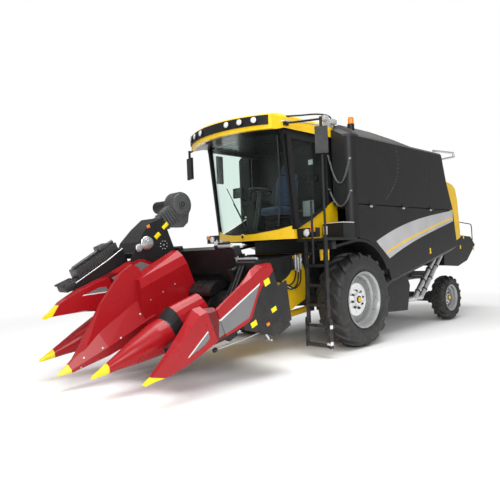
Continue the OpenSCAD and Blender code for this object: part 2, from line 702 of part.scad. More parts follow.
// Lift cylinders: barrels on the front axle, rods towards the feeder house
module lift_barrels() color("#e8b416")
  for (x = [-cyl_x, cyl_x])
    difference() {
      union() {
        x_bar(x - 32, x + 32, 44, base_y, base_z);
        along_cylinder(x) translate([0, 0, 20]) cylinder(r = 26, h = 65);
        along_cylinder(x) translate([0, 0, 78]) cylinder(r = 54, h = 712);
      }
      x_bar(x - 60, x + 60, 22 + pin_gap, base_y, base_z);
      along_cylinder(x) translate([0, 0, 120]) cylinder(r = rod_r + pin_gap, h = 1000);
    }

module lift_rods() color("#c5c8ca")
  for (x = [-cyl_x, cyl_x])
    difference() {
      union() {
        along_cylinder(x) translate([0, 0, 420]) cylinder(r = rod_r, h = cyl_len - 420 - 33);
        x_bar(x - 34, x + 34, 46, eye_y, eye_z);
      }
      x_bar(x - 60, x + 60, 30, eye_y, eye_z);
    }

// Header frame: back wall with the feeder inlet, top beam on posts, trough, ends and the fold pins
module header_frame() color("#1a1b1d")
  in_header() {
    hw = fold_x - fold_clear;
    difference() {
      block([-hw, 75, -430], [hw, 120, 330]);
      block([-520, 0, -300], [520, 200, 300]);
    }
    block([-hw, 75, 560], [hw, 200, 690]);
    plate_yz(-hw, hw, [[120, -430], [120, -400], [-180, -320], [-420, -200], [-560, -60], [-590, -80],
      [-450, -235], [-190, -352], [75, -430]]);
    block([-fold_x + 100, 75, 325], [fold_x - 100, 120, 565]);
    both_sides() {
      difference() {
        plate_yz(hw - 30, hw, [[80, -420], [80, 300], [-100, 300], [-440, 60], [-560, -60], [-430, -225],
          [-180, -340]]);
        x_bar(0, 2 * hw, journal_r + pin_gap, auger_y, auger_z);
      }
      block([900, 170, 370], [fold_x + 37, 200, 565]);
      block([hw - 30, -130, 200], [fold_x + 30, -100, 460]);
      translate([fold_x, 200, fold_z]) rotate([90, 0, 0]) cylinder(r = fold_r, h = 330);
    }
    block([-hw, -612, -120], [hw, -560, -40]);
  }

// Auger flight that winds along x, in short straight steps
module flight(x0, x1) {
  turns = (x1 - x0) / flight_pitch;
  n = ceil(24 * turns);
  inner = auger_tube_r + seat_gap;
  outer = auger_r - 2;
  loft([for (i = [0:n]) let (a = 360 * turns * i / n)
    [for (c = [[inner, -22], [outer, -22], [outer, 22], [inner, 22]])
      [x0 + (x1 - x0) * i / n, c.y * sin(a) - c.x * cos(a), c.x * sin(a) + c.y * cos(a)]]]);
}

// Cross auger of the middle section, turning about x, with paddles before the feeder
module header_auger() color("#1f2022")
  in_header() translate([0, auger_y, auger_z]) {
    hw = fold_x - fold_clear - 40;
    x_bar(-hw, hw, auger_tube_r, 0, 0);
    x_bar(-hw - 30, hw + 30, journal_r, 0, 0);
    both_sides() flight(160, hw - 10);
    for (a = [0, 120, 240])
      rotate([a, 0, 0]) block([-140, auger_tube_r - 10, -6], [140, auger_r - 4, 6]);
  }

// Tall middle divider: faceted snout, high fin and rear hood
module centre_divider() color("#b3162c")
  in_header() {
    // y, half width, lower edge, upper edge
    loft([for (r = [[snout_y, 12, 105, snout_z], [-2250, 62, 55, 170], [-1750, 150, 0, 330],
      [-1130, 200, -20, 480], [-980, 200, -20, 480]])
      let (y = r[0], w = r[1], a = r[2], b = r[3], m = a + 0.4 * (b - a))
      [[0.5 * w, y, a], [w, y, m], [0.35 * w, y, b], [-0.35 * w, y, b], [-w, y, m], [-0.5 * w, y, a]]]);
    // y, half width of the ridge, half width of the foot, foot, ridge
    loft([for (r = [[-2300, 14, 26, 88, 118], [-2070, 22, 55, 150, 269], [-1557, 28, 85, 150, 647],
      [-1130, 35, 115, 150, 890], [-930, 40, 125, 150, 925], [-860, 40, 125, 150, 850]])
      let (y = r[0], f = r[1], w = r[2], a = r[3], b = r[4])
      [[w, y, a], [f, y, b], [-f, y, b], [-w, y, a]]]);
    intersection() {
      plate_yz(-190, 190, [[-1140, -20], [-1140, 300], [-985, 725], [-187, 812], [-181, 283], [-506, 10],
        [-760, -30]]);
      rotate([90, 0, 0]) linear_extrude(1200)
        polygon([[-188, -60], [188, -60], [188, 610], [150, 730], [70, 815], [-70, 815], [-150, 730],
          [-188, 610]]);
    }
    block([-150, -770, -110], [150, -612 - seat_gap, 20]);
  }

// Cone snouts between the rows, with collars and hoods
module inner_snouts() color("#b3162c")
  in_header() for (x = [-row_pitch, row_pitch]) {
    translate([x, -1242, 105]) rotate([87.6, 0, 0]) rotate_extrude($fn = 96)
      polygon([[0, -12], [212, -12], [214, 0], [207, 170], [142, 505], [86, 745], [22, 1060], [0, 1094]]);
    // y, width, lower edge, upper edge, narrowing
    collar = [[-1255, 412, -104, 318, 0], [-1080, 412, -80, 398, 0.1]];
    hood = [[-1085, 400, -74, 390, 0.15], [-850, 400, -70, 370, 0.25], [-612 - seat_gap, 392, -80, 350, 0.3]];
    for (rows = [collar, hood])
      loft([for (r = rows) tent(x, r[0], r[1], r[2], r[3], r[4], 20)]);
  }

// Row unit at x: side plates, stripper plates, bladed stalk rolls, gathering chains and gear housing
module row_unit(x, w) {
  rear = -612 - seat_gap;
  translate([x, 0, 0]) {
    both_sides() {
      plate_yz(w / 2 - 14, w / 2, [[-1500, -30], [-1500, 66], [rear, 66], [rear, -200], [-800, -180]]);
      block([18, -1480, 58], [w / 2 - 5, -640, 72]);
      translate([62, -700, -60]) rotate([90, 0, 0]) cylinder(r = 46, h = 700);
      translate([62, -1395, -60]) rotate([90, 0, 0]) cylinder(r1 = 46, r2 = 14, h = 160);
      for (a = [0, 90])
        translate([62, 0, -60]) rotate([0, a, 0]) block([-57, -1380, -5], [57, -720, 5]);
      for (d = [40, 118])
        block([d - 10, -1430, 70], [d + 10, -720, 92]);
      for (y = [-1430, -720])
        translate([79, y, 70]) cylinder(r = 47, h = 20);
      for (i = [0:5])
        block([14, -1400 + 120 * i, 74], [50, -1386 + 120 * i, 104]);
    }
    block([-w / 2 + 5, -760, -230], [w / 2 - 5, rear, -20]);
  }
}

// Two middle row units
module centre_rows() color("#1f2023")
  in_header() for (x = [-row_pitch / 2, row_pitch / 2])
    row_unit(x, 310);

// Wing: back wall, beam, trough, end sheet, row unit and auger end
module wing_frame() {
  x0 = fold_x + fold_clear;
  x1 = wing_x - 20;
  block([x0, 30, -410], [x1, 60, 360]);
  block([fold_x + 50, 30, 350], [x1 - 180, 60, 530]);
  block([fold_x + 60, -40, 430], [x1 - 185, 35, 525]);
  difference() {
    union() {
      translate([fold_x, 165, fold_z]) rotate([90, 0, 0]) cylinder(r = 42, h = 260);
      block([fold_x + 20, 30, 330], [fold_x + 90, 60, 460]);
      block([fold_x + 20, 55, 385], [fold_x + 80, 165, 455]);
    }
    translate([fold_x, 205, fold_z]) rotate([90, 0, 0]) cylinder(r = fold_r + pin_gap, h = 340);
  }
  plate_yz(x0, x1, [[60, -430], [60, -400], [-180, -320], [-420, -200], [-560, -60], [-590, -80],
    [-450, -235], [-190, -352]]);
  plate_yz(x1, wing_x, concat([[54, -430]], [for (i = [len(hood_foot) - 1:-1:0]) hood_foot[i]],
    [[-705, -74], [-350, -348], [-190, -430]]));
  block([x0, -612, -120], [x1, -562, -40]);
  translate([0, auger_y, auger_z]) {
    x_bar(x0 + 20, wing_x - 30, auger_tube_r, 0, 0);
    x_bar(wing_x - 40, wing_x - 15, journal_r, 0, 0);
    flight(x0 + 40, wing_x - 50);
  }
  row_unit(1160, 310);
}

// Outer divider of a wing: front snout, recessed joint and rear hood, flat on the outside
module wing_divider() {
  // y, inner width at the foot, lower edge, outer crease, ridge, ridge inwards of the crease
  front = [[-2163, 60, 95, 122, 125, 20], [-2048, 90, 75, 137, 142, 30], [-1865, 150, 25, 200, 206, 50],
    [-1606, 200, 3, 279, 305, 90], [-1242, 240, 12, 411, 488, 110], [-1130, 240, 20, 400, 468, 110]];
  joint = [[-1140, 220, 12, 380, 440, 90], [-985, 200, 8, 340, 380, 60]];
  // inner width, outer crease, ridge, ridge inwards, at the places of hood_foot
  hood = [[200, 408, 414, 30], [200, 430, 436, 30], [200, 440, 448, 40], [200, 455, 478, 80],
    [200, 483, 506, 120], [190, 500, 518, 120], [170, 473, 478, 80]];
  rear = [for (i = [0:len(hood) - 1]) let (h = hood[i], f = hood_foot[i])
    [f.x, h[0], f.y + seat_gap, h[1], h[2], h[3]]];
  function wedge(x, r) = let (y = r[0], z = r[2], h = r[4] - r[2])
    [[x, y, z], [x, y, r[3]], [x - r[5], y, r[4]], [x - (r[5] + r[1]) / 2, y, r[4] - 0.12 * h],
    [x - r[1], y, z + 0.3 * h], [x - r[1], y, z]];
  loft([for (r = front) wedge(wing_x, r)]);
  loft([for (r = joint) wedge(wing_x - 14, r)]);
  loft([for (r = concat([[-995, 200, 6, 352, 360, 30]], rear)) wedge(wing_x, r)]);
}

module left_wing_frame() color("#1a1b1d")
  in_header() wing_frame();

module left_wing_divider() color("#b3162c")
  in_header() wing_divider();

module right_wing_frame() color("#1a1b1d")
  right_folded() wing_frame();

module right_wing_divider() color("#b3162c")
  right_folded() wing_divider();

// Drive gearbox behind the right wing: ribbed drum with its cap, shaft guard and arm
module right_wing_gearbox() color("#aeb2b4")
  right_folded() {
    y = 585;
    z = -466;
    x_bar(1250, 1450, 180, y, z);
    for (i = [0:4])
      x_bar(1262 + 40 * i, 1278 + 40 * i, 195, y, z);
    x_bar(1440, 1478, 62, y, z);
    x_bar(880, 1260, 100, y, z);
    plate_yz(1280, 1420, [[60 + seat_gap, -400], [60 + seat_gap, -150], [230, -210], [480, -110], [600, -150],
      [740, -370], [690, -600], [300, -500]]);
  }

// Puts the object's foot centre on the origin
module placed() {
  translate([0, -origin_y, 0]) children();
}

placed() chassis_rails();
placed() separator_body();
placed() engine_block();
placed() front_axle();
placed() rear_axle();
placed() body_deck();
placed() upper_sides();
placed() roof_cover();
placed() rear_hood();
placed() chaff_box();
placed() side_tubes();
placed() wheel_guards();
placed() cab_frame();
placed() cab_skirt();
placed() cab_glass();
placed() cab_roof();
placed() lamps();
placed() operator_seat();
placed() steering_console();
placed() platform();
placed() mirrors();
placed() ladder_lower();
placed() cab_door_frame();
placed() cab_door_glass();
placed() left_lid();
placed() right_lid();
placed() front_left_tyre();
placed() front_left_rim();
placed() front_right_tyre();
placed() front_right_rim();
placed() rear_left_knuckle();
placed() rear_left_tyre();
placed() rear_left_rim();
placed() rear_right_knuckle();
placed() rear_right_tyre();
placed() rear_right_rim();
placed() feeder_house();
placed() lift_barrels();
placed() lift_rods();
placed() header_frame();
placed() header_auger();
placed() centre_divider();
placed() inner_snouts();
placed() centre_rows();
placed() left_wing_frame();
placed() left_wing_divider();
placed() right_wing_frame();
placed() right_wing_divider();
placed() right_wing_gearbox();
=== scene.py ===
"""Plot combine with a folding maize header: the looks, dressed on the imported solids."""

import math

import bpy
import numpy as np
from mathutils import Matrix, Vector


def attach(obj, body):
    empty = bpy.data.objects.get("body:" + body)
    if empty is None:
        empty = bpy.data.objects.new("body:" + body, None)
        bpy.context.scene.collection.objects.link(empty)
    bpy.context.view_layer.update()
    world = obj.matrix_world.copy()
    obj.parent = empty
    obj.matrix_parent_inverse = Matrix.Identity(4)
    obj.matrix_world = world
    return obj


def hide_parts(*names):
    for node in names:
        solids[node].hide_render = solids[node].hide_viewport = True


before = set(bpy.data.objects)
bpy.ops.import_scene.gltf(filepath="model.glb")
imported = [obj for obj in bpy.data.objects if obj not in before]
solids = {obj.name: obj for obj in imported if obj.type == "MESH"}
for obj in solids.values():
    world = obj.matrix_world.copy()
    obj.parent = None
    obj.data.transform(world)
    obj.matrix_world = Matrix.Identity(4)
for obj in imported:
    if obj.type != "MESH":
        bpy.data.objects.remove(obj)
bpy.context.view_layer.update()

# Camera: eye height of a grown-up, ahead of the machine and on its left side,
# with the slight roll that the photograph has. Angles and lens come from a fit
# of known corners.
AZIMUTH, PITCH, ROLL = (math.radians(a) for a in (46.079, 0.382, 2.292))
EYE = Vector((6.093, -7.470, 1.596))
forward = Vector(
    (
        -math.sin(AZIMUTH) * math.cos(PITCH),
        math.cos(AZIMUTH) * math.cos(PITCH),
        math.sin(PITCH),
    )
)
level = Vector((math.cos(AZIMUTH), math.sin(AZIMUTH), 0.0))
upward = level.cross(forward)
cam_right = level * math.cos(ROLL) - upward * math.sin(ROLL)
cam_up = level * math.sin(ROLL) + upward * math.cos(ROLL)
lens = bpy.data.cameras.new("photo_camera")
lens.sensor_width = 36.0
lens.lens = 36.355
lens.clip_end = 200.0
camera = bpy.data.objects.new("photo_camera", lens)
bpy.context.scene.collection.objects.link(camera)
axes = Matrix((cam_right, cam_up, -forward)).transposed().to_4x4()
camera.matrix_world = Matrix.Translation(EYE) @ axes
bpy.context.scene.camera = camera
bpy.context.scene.view_settings.view_transform = "Standard"


# Studio: a pale floor that runs out into white, with one broad soft light over
# the machine, one from the front left and a faint one from behind.
def graph(name):
    """New node material: returns it with a function that adds a node and one that joins two sockets."""
    material = bpy.data.materials.new(name)
    material.use_nodes = True
    tree = material.node_tree
    tree.nodes.clear()

    def add(kind, **values):
        node = tree.nodes.new("ShaderNode" + kind)
        for key, value in values.items():
            socket = key.replace("_", " ")
            if socket in node.inputs:
                node.inputs[socket].default_value = value
            else:
                setattr(node, key, value)
        return node

    return material, add, tree.links.new


AXLE_Y = 456.085


def at(points):
    """Points measured on the machine in mm (x to its left, y rearward of the front axle, z up), as metres in
    the shared frame."""
    return (np.asarray(points, float) - (0.0, AXLE_Y, 0.0)) / 1000.0


def place(name, shape, material, body=None):
    """Mesh object from points in machine mm and a list of faces, at the origin, in one material."""
    points, faces = shape
    mesh = bpy.data.meshes.new(name)
    mesh.from_pydata(at(points).tolist(), [], faces)
    mesh.materials.append(material)
    mesh.polygons.foreach_set("use_smooth", np.full(len(mesh.polygons), True))
    mesh.set_sharp_from_angle(angle=math.radians(38.0))
    mesh.update()
    thing = bpy.data.objects.new(name, mesh)
    bpy.context.scene.collection.objects.link(thing)
    if body:
        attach(thing, body)
    return thing


FLOOR_HALF = 40000.0
FADE_FROM, FADE_TO = 5.5, 10.0
floor_mat, add, join = graph("studio_floor")
where = add("TexCoord")
reach = add("VectorMath", operation="LENGTH")
fade = add("MapRange", From_Min=FADE_FROM, From_Max=FADE_TO)
matt = add("BsdfDiffuse", Color=(0.95, 0.95, 0.95, 1.0))
white = add("Emission", Color=(1.0, 1.0, 1.0, 1.0), Strength=1.0)
mix = add("MixShader")
out = add("OutputMaterial")
join(where.outputs["Object"], reach.inputs[0])
join(reach.outputs["Value"], fade.inputs["Value"])
join(fade.outputs["Result"], mix.inputs["Fac"])
join(matt.outputs["BSDF"], mix.inputs[1])
join(white.outputs["Emission"], mix.inputs[2])
join(mix.outputs["Shader"], out.inputs["Surface"])
ring = np.array([(-1, -1, 0), (1, -1, 0), (1, 1, 0), (-1, 1, 0)], float) * FLOOR_HALF
floor = place("studio_floor", (ring, [[0, 1, 2, 3]]), floor_mat)

SKY_FILL = 0.42
world = bpy.data.worlds.new("studio")
bpy.context.scene.world = world
world.use_nodes = True
tree = world.node_tree
tree.nodes.clear()
path = tree.nodes.new("ShaderNodeLightPath")
seen = tree.nodes.new("ShaderNodeMath")
seen.operation = "MAXIMUM"
level_mix = tree.nodes.new("ShaderNodeMapRange")
level_mix.inputs["To Min"].default_value = SKY_FILL
level_mix.inputs["To Max"].default_value = 1.0
sky = tree.nodes.new("ShaderNodeBackground")
sky.inputs["Color"].default_value = (1.0, 1.0, 1.0, 1.0)
sky_out = tree.nodes.new("ShaderNodeOutputWorld")
tree.links.new(path.outputs["Is Camera Ray"], seen.inputs[0])
tree.links.new(path.outputs["Is Transmission Ray"], seen.inputs[1])
tree.links.new(seen.outputs[0], level_mix.inputs["Value"])
tree.links.new(level_mix.outputs["Result"], sky.inputs["Strength"])
tree.links.new(sky.outputs["Background"], sky_out.inputs["Surface"])

SURROUND = 38000.0
DOME_SIDES, DOME_RINGS = 48, 16
around = np.linspace(0.0, 2.0 * np.pi, DOME_SIDES, endpoint=False)[None]
rise = np.linspace(-0.05, 0.498, DOME_RINGS)[:, None] * np.pi
shell = [np.cos(rise) * np.cos(around), np.cos(rise) * np.sin(around), np.sin(rise) + 0.0 * around]
dome_points = np.stack(shell, 2).reshape(-1, 3) * SURROUND
ring_start = np.arange(DOME_RINGS - 1)[:, None] * DOME_SIDES
corner = (ring_start + np.arange(DOME_SIDES)).ravel()
beside = (ring_start + (np.arange(DOME_SIDES) + 1) % DOME_SIDES).ravel()
dome_faces = np.stack([corner, corner + DOME_SIDES, beside + DOME_SIDES, beside], 1).tolist()
white_mat, add, join = graph("studio_surround")
glow = add("Emission", Color=(1.0, 1.0, 1.0, 1.0), Strength=1.0)
join(glow.outputs["Emission"], add("OutputMaterial").inputs["Surface"])
surround = place("studio_surround", (dome_points, dome_faces), white_mat)
surround.visible_diffuse = False
surround.visible_glossy = False
surround.visible_shadow = False

for name, spot, aim, size, power in (
    ("overhead", (1.0, -2.0, 9.5), (0.0, 0.0, 1.0), 8.0, 1080.0),
    ("front_left", (8.5, -8.5, 5.0), (0.0, -1.0, 1.5), 5.0, 560.0),
    ("rear_right", (-8.0, 6.0, 6.0), (0.0, 1.0, 1.5), 5.0, 260.0),
):
    soft = bpy.data.lights.new(name, "AREA")
    soft.shape = "SQUARE"
    soft.size = size
    soft.energy = power
    lamp = bpy.data.objects.new(name, soft)
    bpy.context.scene.collection.objects.link(lamp)
    lamp.visible_camera = False
    lamp.visible_transmission = False
    lamp.location = spot
    lamp.rotation_euler = (Vector(aim) - Vector(spot)).to_track_quat("-Z", "Y").to_euler()


# Chassis, axles and knuckles: welded and cast steel under satin black enamel,
# dusty towards the ground. The engine is one grey casting inside the body.
DUST = (0.20, 0.18, 0.15, 1.0)
IRON_BLACK = (0.012, 0.012, 0.013)


def inside(add, join, place_at, tests):
    """Socket that is one where a point p passes every test and zero elsewhere: (normal, limit) asks for
    n.p > limit, and (centre, scale, radius) for |(p - c) scale| < radius."""
    passed = None
    for test in tests:
        if len(test) == 2:
            measure = add("VectorMath", operation="DOT_PRODUCT")
            measure.inputs[1].default_value = test[0]
            join(place_at, measure.inputs[0])
            limit = add("Math", operation="GREATER_THAN")
        else:
            apart = add("VectorMath", operation="SUBTRACT")
            apart.inputs[1].default_value = test[0]
            flat = add("VectorMath", operation="MULTIPLY")
            flat.inputs[1].default_value = test[1]
            measure = add("VectorMath", operation="LENGTH")
            join(place_at, apart.inputs[0])
            join(apart.outputs[0], flat.inputs[0])
            join(flat.outputs[0], measure.inputs[0])
            limit = add("Math", operation="LESS_THAN")
        limit.inputs[1].default_value = test[-1]
        join(measure.outputs["Value"], limit.inputs[0])
        if passed is None:
            passed = limit.outputs[0]
        else:
            product = add("Math", operation="MULTIPLY")
            join(passed, product.inputs[0])
            join(limit.outputs[0], product.inputs[1])
            passed = product.outputs[0]
    return passed


def enamel(
    name, colour, rough, metal=0.0, coat=0.0, spec=0.5, peel=0.02, dust=0.25, shift=0.12,
    grain=260.0, wear=1.0, areas=(),
):
    """Paint on metal: colour that drifts a little with low noise, a fine skin in the bump, uneven gloss, and
    dust that thins out with height above the ground. Each area is a second colour with the tests that a
    point passes there."""
    material, add, join = graph(name)
    place_at = add("TexCoord").outputs["Object"]
    drift = add("TexNoise", Scale=2.3, Detail=5.0, Roughness=0.6)
    shade = add("MapRange", From_Min=0.3, From_Max=0.7, To_Min=1.0 - shift, To_Max=1.0 + shift)
    height = add("SeparateXYZ")
    low = add("MapRange", From_Min=0.0, From_Max=1.5, To_Min=dust, To_Max=0.0)
    specks = add("TexNoise", Scale=9.0, Detail=8.0, Roughness=0.7)
    patch = add("MapRange", From_Min=0.4, From_Max=0.75)
    soil = add("Math", operation="MULTIPLY")
    dirt = add("Mix", data_type="RGBA")
    dirt.inputs[7].default_value = DUST
    gloss = add("MapRange", From_Min=0.3, From_Max=0.7)
    gloss.inputs["To Min"].default_value = rough - 0.06 * wear
    gloss.inputs["To Max"].default_value = rough + 0.08 * wear
    skin_noise = add("TexNoise", Scale=grain, Detail=2.0)
    bump = add("Bump", Strength=peel, Distance=0.002)
    shader = add("BsdfPrincipled", Metallic=metal, Specular_IOR_Level=spec)
    shader.inputs["Coat Weight"].default_value = coat
    shader.inputs["Coat Roughness"].default_value = 0.12
    out = add("OutputMaterial")
    for texture in (drift, specks, skin_noise):
        join(place_at, texture.inputs["Vector"])
    tone = add("VectorMath", operation="SCALE")
    tone.inputs[0].default_value = colour
    under = None
    for area_colour, tests in areas:
        layer = add("Mix", data_type="RGBA")
        layer.inputs[6].default_value = (*colour, 1.0)
        layer.inputs[7].default_value = (*area_colour, 1.0)
        join(inside(add, join, place_at, tests), layer.inputs[0])
        if under is not None:
            join(under, layer.inputs[6])
        under = layer.outputs[2]
    if under is not None:
        join(under, tone.inputs[0])
    join(drift.outputs["Fac"], shade.inputs["Value"])
    join(shade.outputs["Result"], tone.inputs["Scale"])
    join(place_at, height.inputs["Vector"])
    join(height.outputs["Z"], low.inputs["Value"])
    join(specks.outputs["Fac"], patch.inputs["Value"])
    join(patch.outputs["Result"], soil.inputs[0])
    join(low.outputs["Result"], soil.inputs[1])
    join(soil.outputs["Value"], dirt.inputs["Factor"])
    join(tone.outputs["Vector"], dirt.inputs[6])
    join(dirt.outputs[2], shader.inputs["Base Color"])
    join(specks.outputs["Fac"], gloss.inputs["Value"])
    join(gloss.outputs["Result"], shader.inputs["Roughness"])
    join(skin_noise.outputs["Fac"], bump.inputs["Height"])
    join(bump.outputs["Normal"], shader.inputs["Normal"])
    join(shader.outputs["BSDF"], out.inputs["Surface"])
    return material


def dress(material, *names):
    """Gives CAD nodes a material in all their slots."""
    for name in names:
        slots = solids[name].data.materials
        slots.clear()
        slots.append(material)


chassis_black = enamel("chassis_enamel", IRON_BLACK, 0.46, spec=0.35, dust=0.5)
dress(chassis_black, "chassis_rails", "front_axle", "rear_axle", "rear_left_knuckle", "rear_right_knuckle")
dress(enamel("engine_casting", (0.07, 0.07, 0.08), 0.6, metal=0.4), "engine_block")

# Body panels: pressed sheet in charcoal enamel, with the side lids hung on three
# small bright hinges each and held by a yellow catch at the lower edge.
CHARCOAL = (0.015, 0.015, 0.016)
YELLOW = (0.90, 0.56, 0.006)
SHEET_FINISH = dict(spec=0.24, peel=0.012, dust=0.15, wear=0.5)
body_black = enamel("body_enamel", CHARCOAL, 0.40, **SHEET_FINISH)
dress(body_black, "separator_body", "body_deck", "upper_sides", "wheel_guards")
LIP_GREY = (0.075, 0.075, 0.078)
below_lip = ((0.0, 0.2024, -0.9793), -0.896)
lid_black = enamel("lid_enamel", CHARCOAL, 0.40, areas=[(LIP_GREY, [below_lip])], **SHEET_FINISH)
dress(lid_black, "left_lid", "right_lid")
# The roof cover's lighter grey is painted light: the brightness its upward slope takes from the overhead
# light, put into its colour.
dress(enamel("roof_skin_painted_light", (0.075, 0.075, 0.071), 0.55, spec=0.3, peel=0.02, dust=0.0), "roof_cover")
zinc = enamel("zinc_plate", (0.62, 0.63, 0.64), 0.30, metal=0.85, peel=0.03, dust=0.1)
black_plastic = enamel("black_plastic", (0.010, 0.010, 0.011), 0.5, spec=0.4, peel=0.08, grain=420.0)
machine_yellow = enamel("yellow_enamel", YELLOW, 0.30, coat=0.3, peel=0.01, dust=0.2, shift=0.06)


def skin(rings, loop=False):
    """Surface over an m x n array of points, closed round n. The rings join end to start with loop, and flat
    ends close it otherwise. The sign of the volume turns the faces outward."""
    rings = np.asarray(rings, float)
    m, n = rings.shape[:2]
    points = rings.reshape(-1, 3)
    row = np.arange(m if loop else m - 1)[:, None]
    col = np.arange(n)[None]
    after, beside = (row + 1) % m, (col + 1) % n
    corners = [row * n + col, row * n + beside, after * n + beside, after * n + col]
    quads = np.stack(corners, -1).reshape(-1, 4)
    faces = quads.tolist()
    if not loop:
        faces += [list(range(n))[::-1], list(range((m - 1) * n, m * n))]
    a, b, c, d = ((points - points.mean(0))[quads[:, i]] for i in range(4))
    if np.einsum("ij,ij", a, np.cross(b, c) + np.cross(c, d)) < 0.0:
        faces = [face[::-1] for face in faces]
    return points, faces


def gather(*shapes):
    """Several shapes as one."""
    points, faces, start = [], [], 0
    for some, theirs in shapes:
        points.append(some)
        faces += [[i + start for i in face] for face in theirs]
        start += len(some)
    return np.concatenate(points), faces


def mirrored(shape):
    """The same shape on the machine's other side."""
    points, faces = shape
    return points * (-1.0, 1.0, 1.0), [face[::-1] for face in faces]


def both(shape):
    """A shape together with its mirror image on the machine's other side."""
    return gather(shape, mirrored(shape))


def block(low, high, edge=5.0, turn=None):
    """Box between two corners with rounded edges: a rounded rectangle carried along z and drawn in at both
    ends, turned about its middle if a matrix is given."""
    low, high = np.asarray(low, float), np.asarray(high, float)
    mid, half = (low + high) / 2.0, (high - low) / 2.0
    edge = min(edge, 0.45 * half.min() * 2.0)
    angle = np.radians(np.arange(7.5, 360.0, 15.0))
    way = np.stack([np.cos(angle), np.sin(angle)], 1)
    corner = np.sign(way) * (half[:2] - edge)
    inset = np.array([0.9, 0.3, 0.0, 0.0, 0.3, 0.9]) * edge
    depth = np.array([0.0, 0.3, 1.0, 1.0, 0.3, 0.0]) * edge
    z = np.where(np.arange(6) < 3, -half[2] + depth, half[2] - depth)
    flat = corner[None] + way[None] * (edge - inset)[:, None, None]
    rings = np.concatenate([flat, np.broadcast_to(z[:, None, None], (6, len(angle), 1))], 2)
    if turn is not None:
        rings = rings @ np.asarray(turn).T
    return skin(rings + mid)


def lathe(foot, axis, profile, sides=28):
    """Turned part: (distance along the axis, radius) pairs carried round the axis."""
    axis = np.asarray(axis, float) / np.linalg.norm(axis)
    side = np.cross(axis, np.eye(3)[np.argmin(np.abs(axis))])
    side /= np.linalg.norm(side)
    angle = np.linspace(0.0, 2.0 * np.pi, sides, endpoint=False)[:, None]
    around = np.cos(angle) * side + np.sin(angle) * np.cross(axis, side)
    along, radius = np.asarray(profile, float).T[:, :, None, None]
    return skin(np.asarray(foot, float) + along * axis + radius * around)


def ribbon(lower, upper, x0, x1):
    """Thin sheet on a side panel, from x0 to x1 across the machine, between a lower and an upper edge of
    (y, z) points."""
    lower, upper = np.asarray(lower, float), np.asarray(upper, float)
    column = [(x0, lower), (x0, upper), (x1, upper), (x1, lower)]
    return skin(np.stack([np.column_stack([np.full(len(e), x), e]) for x, e in column], 1))


SIDES = (("left", lambda shape: shape), ("right", mirrored))
SIDE = 1380.0
HINGE_Z = 2342.0
CATCH_Y, CATCH_Z = 2447.0, 1445.0
RIVETS = 19
hinges = []
for y in (420.0, 1500.0, 2560.0):
    hinges.append(block((SIDE - 1, y - 45, HINGE_Z - 46), (SIDE + 5, y + 45, HINGE_Z - 8), 2.0))
    hinges.append(lathe((SIDE + 9, y - 40, HINGE_Z), (0, 1, 0), [(0, 7), (2, 9), (78, 9), (80, 7)], 14))
    for d in (-28, 28):
        hinges.append(lathe((SIDE + 4, y + d, HINGE_Z - 30), (1, 0, 0), [(0, 8), (4, 8), (6, 5)], 12))
catch = gather(
    block((SIDE - 1, CATCH_Y - 19, CATCH_Z), (SIDE + 14, CATCH_Y + 19, CATCH_Z + 115), 6.0),
    block((SIDE + 10, CATCH_Y - 13, CATCH_Z + 7), (SIDE + 24, CATCH_Y + 13, CATCH_Z + 45), 5.0),
)
groove = ribbon([(2566, 1362), (2566, 2330)], [(2576, 1366), (2576, 2330)], SIDE - 0.5, SIDE + 0.8)
for side, flip in SIDES:
    lid = side + "_lid"
    place(lid + "_hinges", flip(gather(*hinges)), zinc, lid)
    place(lid + "_catch", flip(catch), machine_yellow, lid)
    place(lid + "_groove", flip(groove), black_plastic, lid)

arc = np.array([(1308, 3422), (1370, 3142), (1302, 2872), (1166, 2688), (1029, 2552), (902, 2458)], float)
cut = np.linspace(0, len(arc) - 1, RIVETS)
spots = np.stack([np.interp(cut, np.arange(len(arc)), arc[:, i]) for i in range(2)], 1)
rivets = gather(*(lathe((SIDE - 1, y, z), (1, 0, 0), [(0, 9), (3, 8), (5, 4)], 10) for y, z in spots))
rivet_steel = enamel("rivet_steel", (0.16, 0.16, 0.16), 0.4, metal=0.5)
place("upper_side_rivets", both(rivets), rivet_steel, "chassis")
seam = ribbon([(2508, 2362), (2572, 3455)], [(2516, 2362), (2580, 3455)], SIDE - 0.5, SIDE + 0.8)
place("upper_side_seams", both(seam), black_plastic, "chassis")

# Stripe band on both lids: one grey film that rises towards the rear, with a yellow line
# above its lower edge, both bonded to the flat of the lid.
BAND_TOP = np.polyfit([533, 948, 1515, 2129, 2800, 3536], [1718, 1862, 2021, 2138, 2243, 2330], 3)
BAND_FOOT = np.polyfit([950, 1480, 2096, 2771, 3569], [1412, 1602, 1765, 1935, 2117], 3)
LINE_FOOT = np.polyfit([829, 1488, 2103, 2777, 3575], [1490, 1688, 1840, 1997, 2176], 3)
BAND_REAR, LID_TOP = 3535, 2330.0
band_grey = enamel("band_film", (0.46, 0.46, 0.47), 0.34, spec=0.4, dust=0.1, shift=0.10)
run = np.linspace(0.0, 1.0, 60)
foot_y, top_y, line_y = (start + (BAND_REAR - start) * run for start in (942.0, 528.0, 846.0))
top = np.column_stack([top_y, np.minimum(np.polyval(BAND_TOP, top_y), LID_TOP)])
foot = np.column_stack([foot_y, np.polyval(BAND_FOOT, foot_y)])
line = np.column_stack([line_y, np.polyval(LINE_FOOT, line_y)])
band = ribbon(foot, top, SIDE - 0.5, SIDE + 1.2)
pinline = ribbon(line, line + (-14.0, 34.0), SIDE + 0.6, SIDE + 2.2)
for side, flip in SIDES:
    place(side + "_band", flip(band), band_grey, side + "_lid")
    place(side + "_band_line", flip(pinline), machine_yellow, side + "_lid")

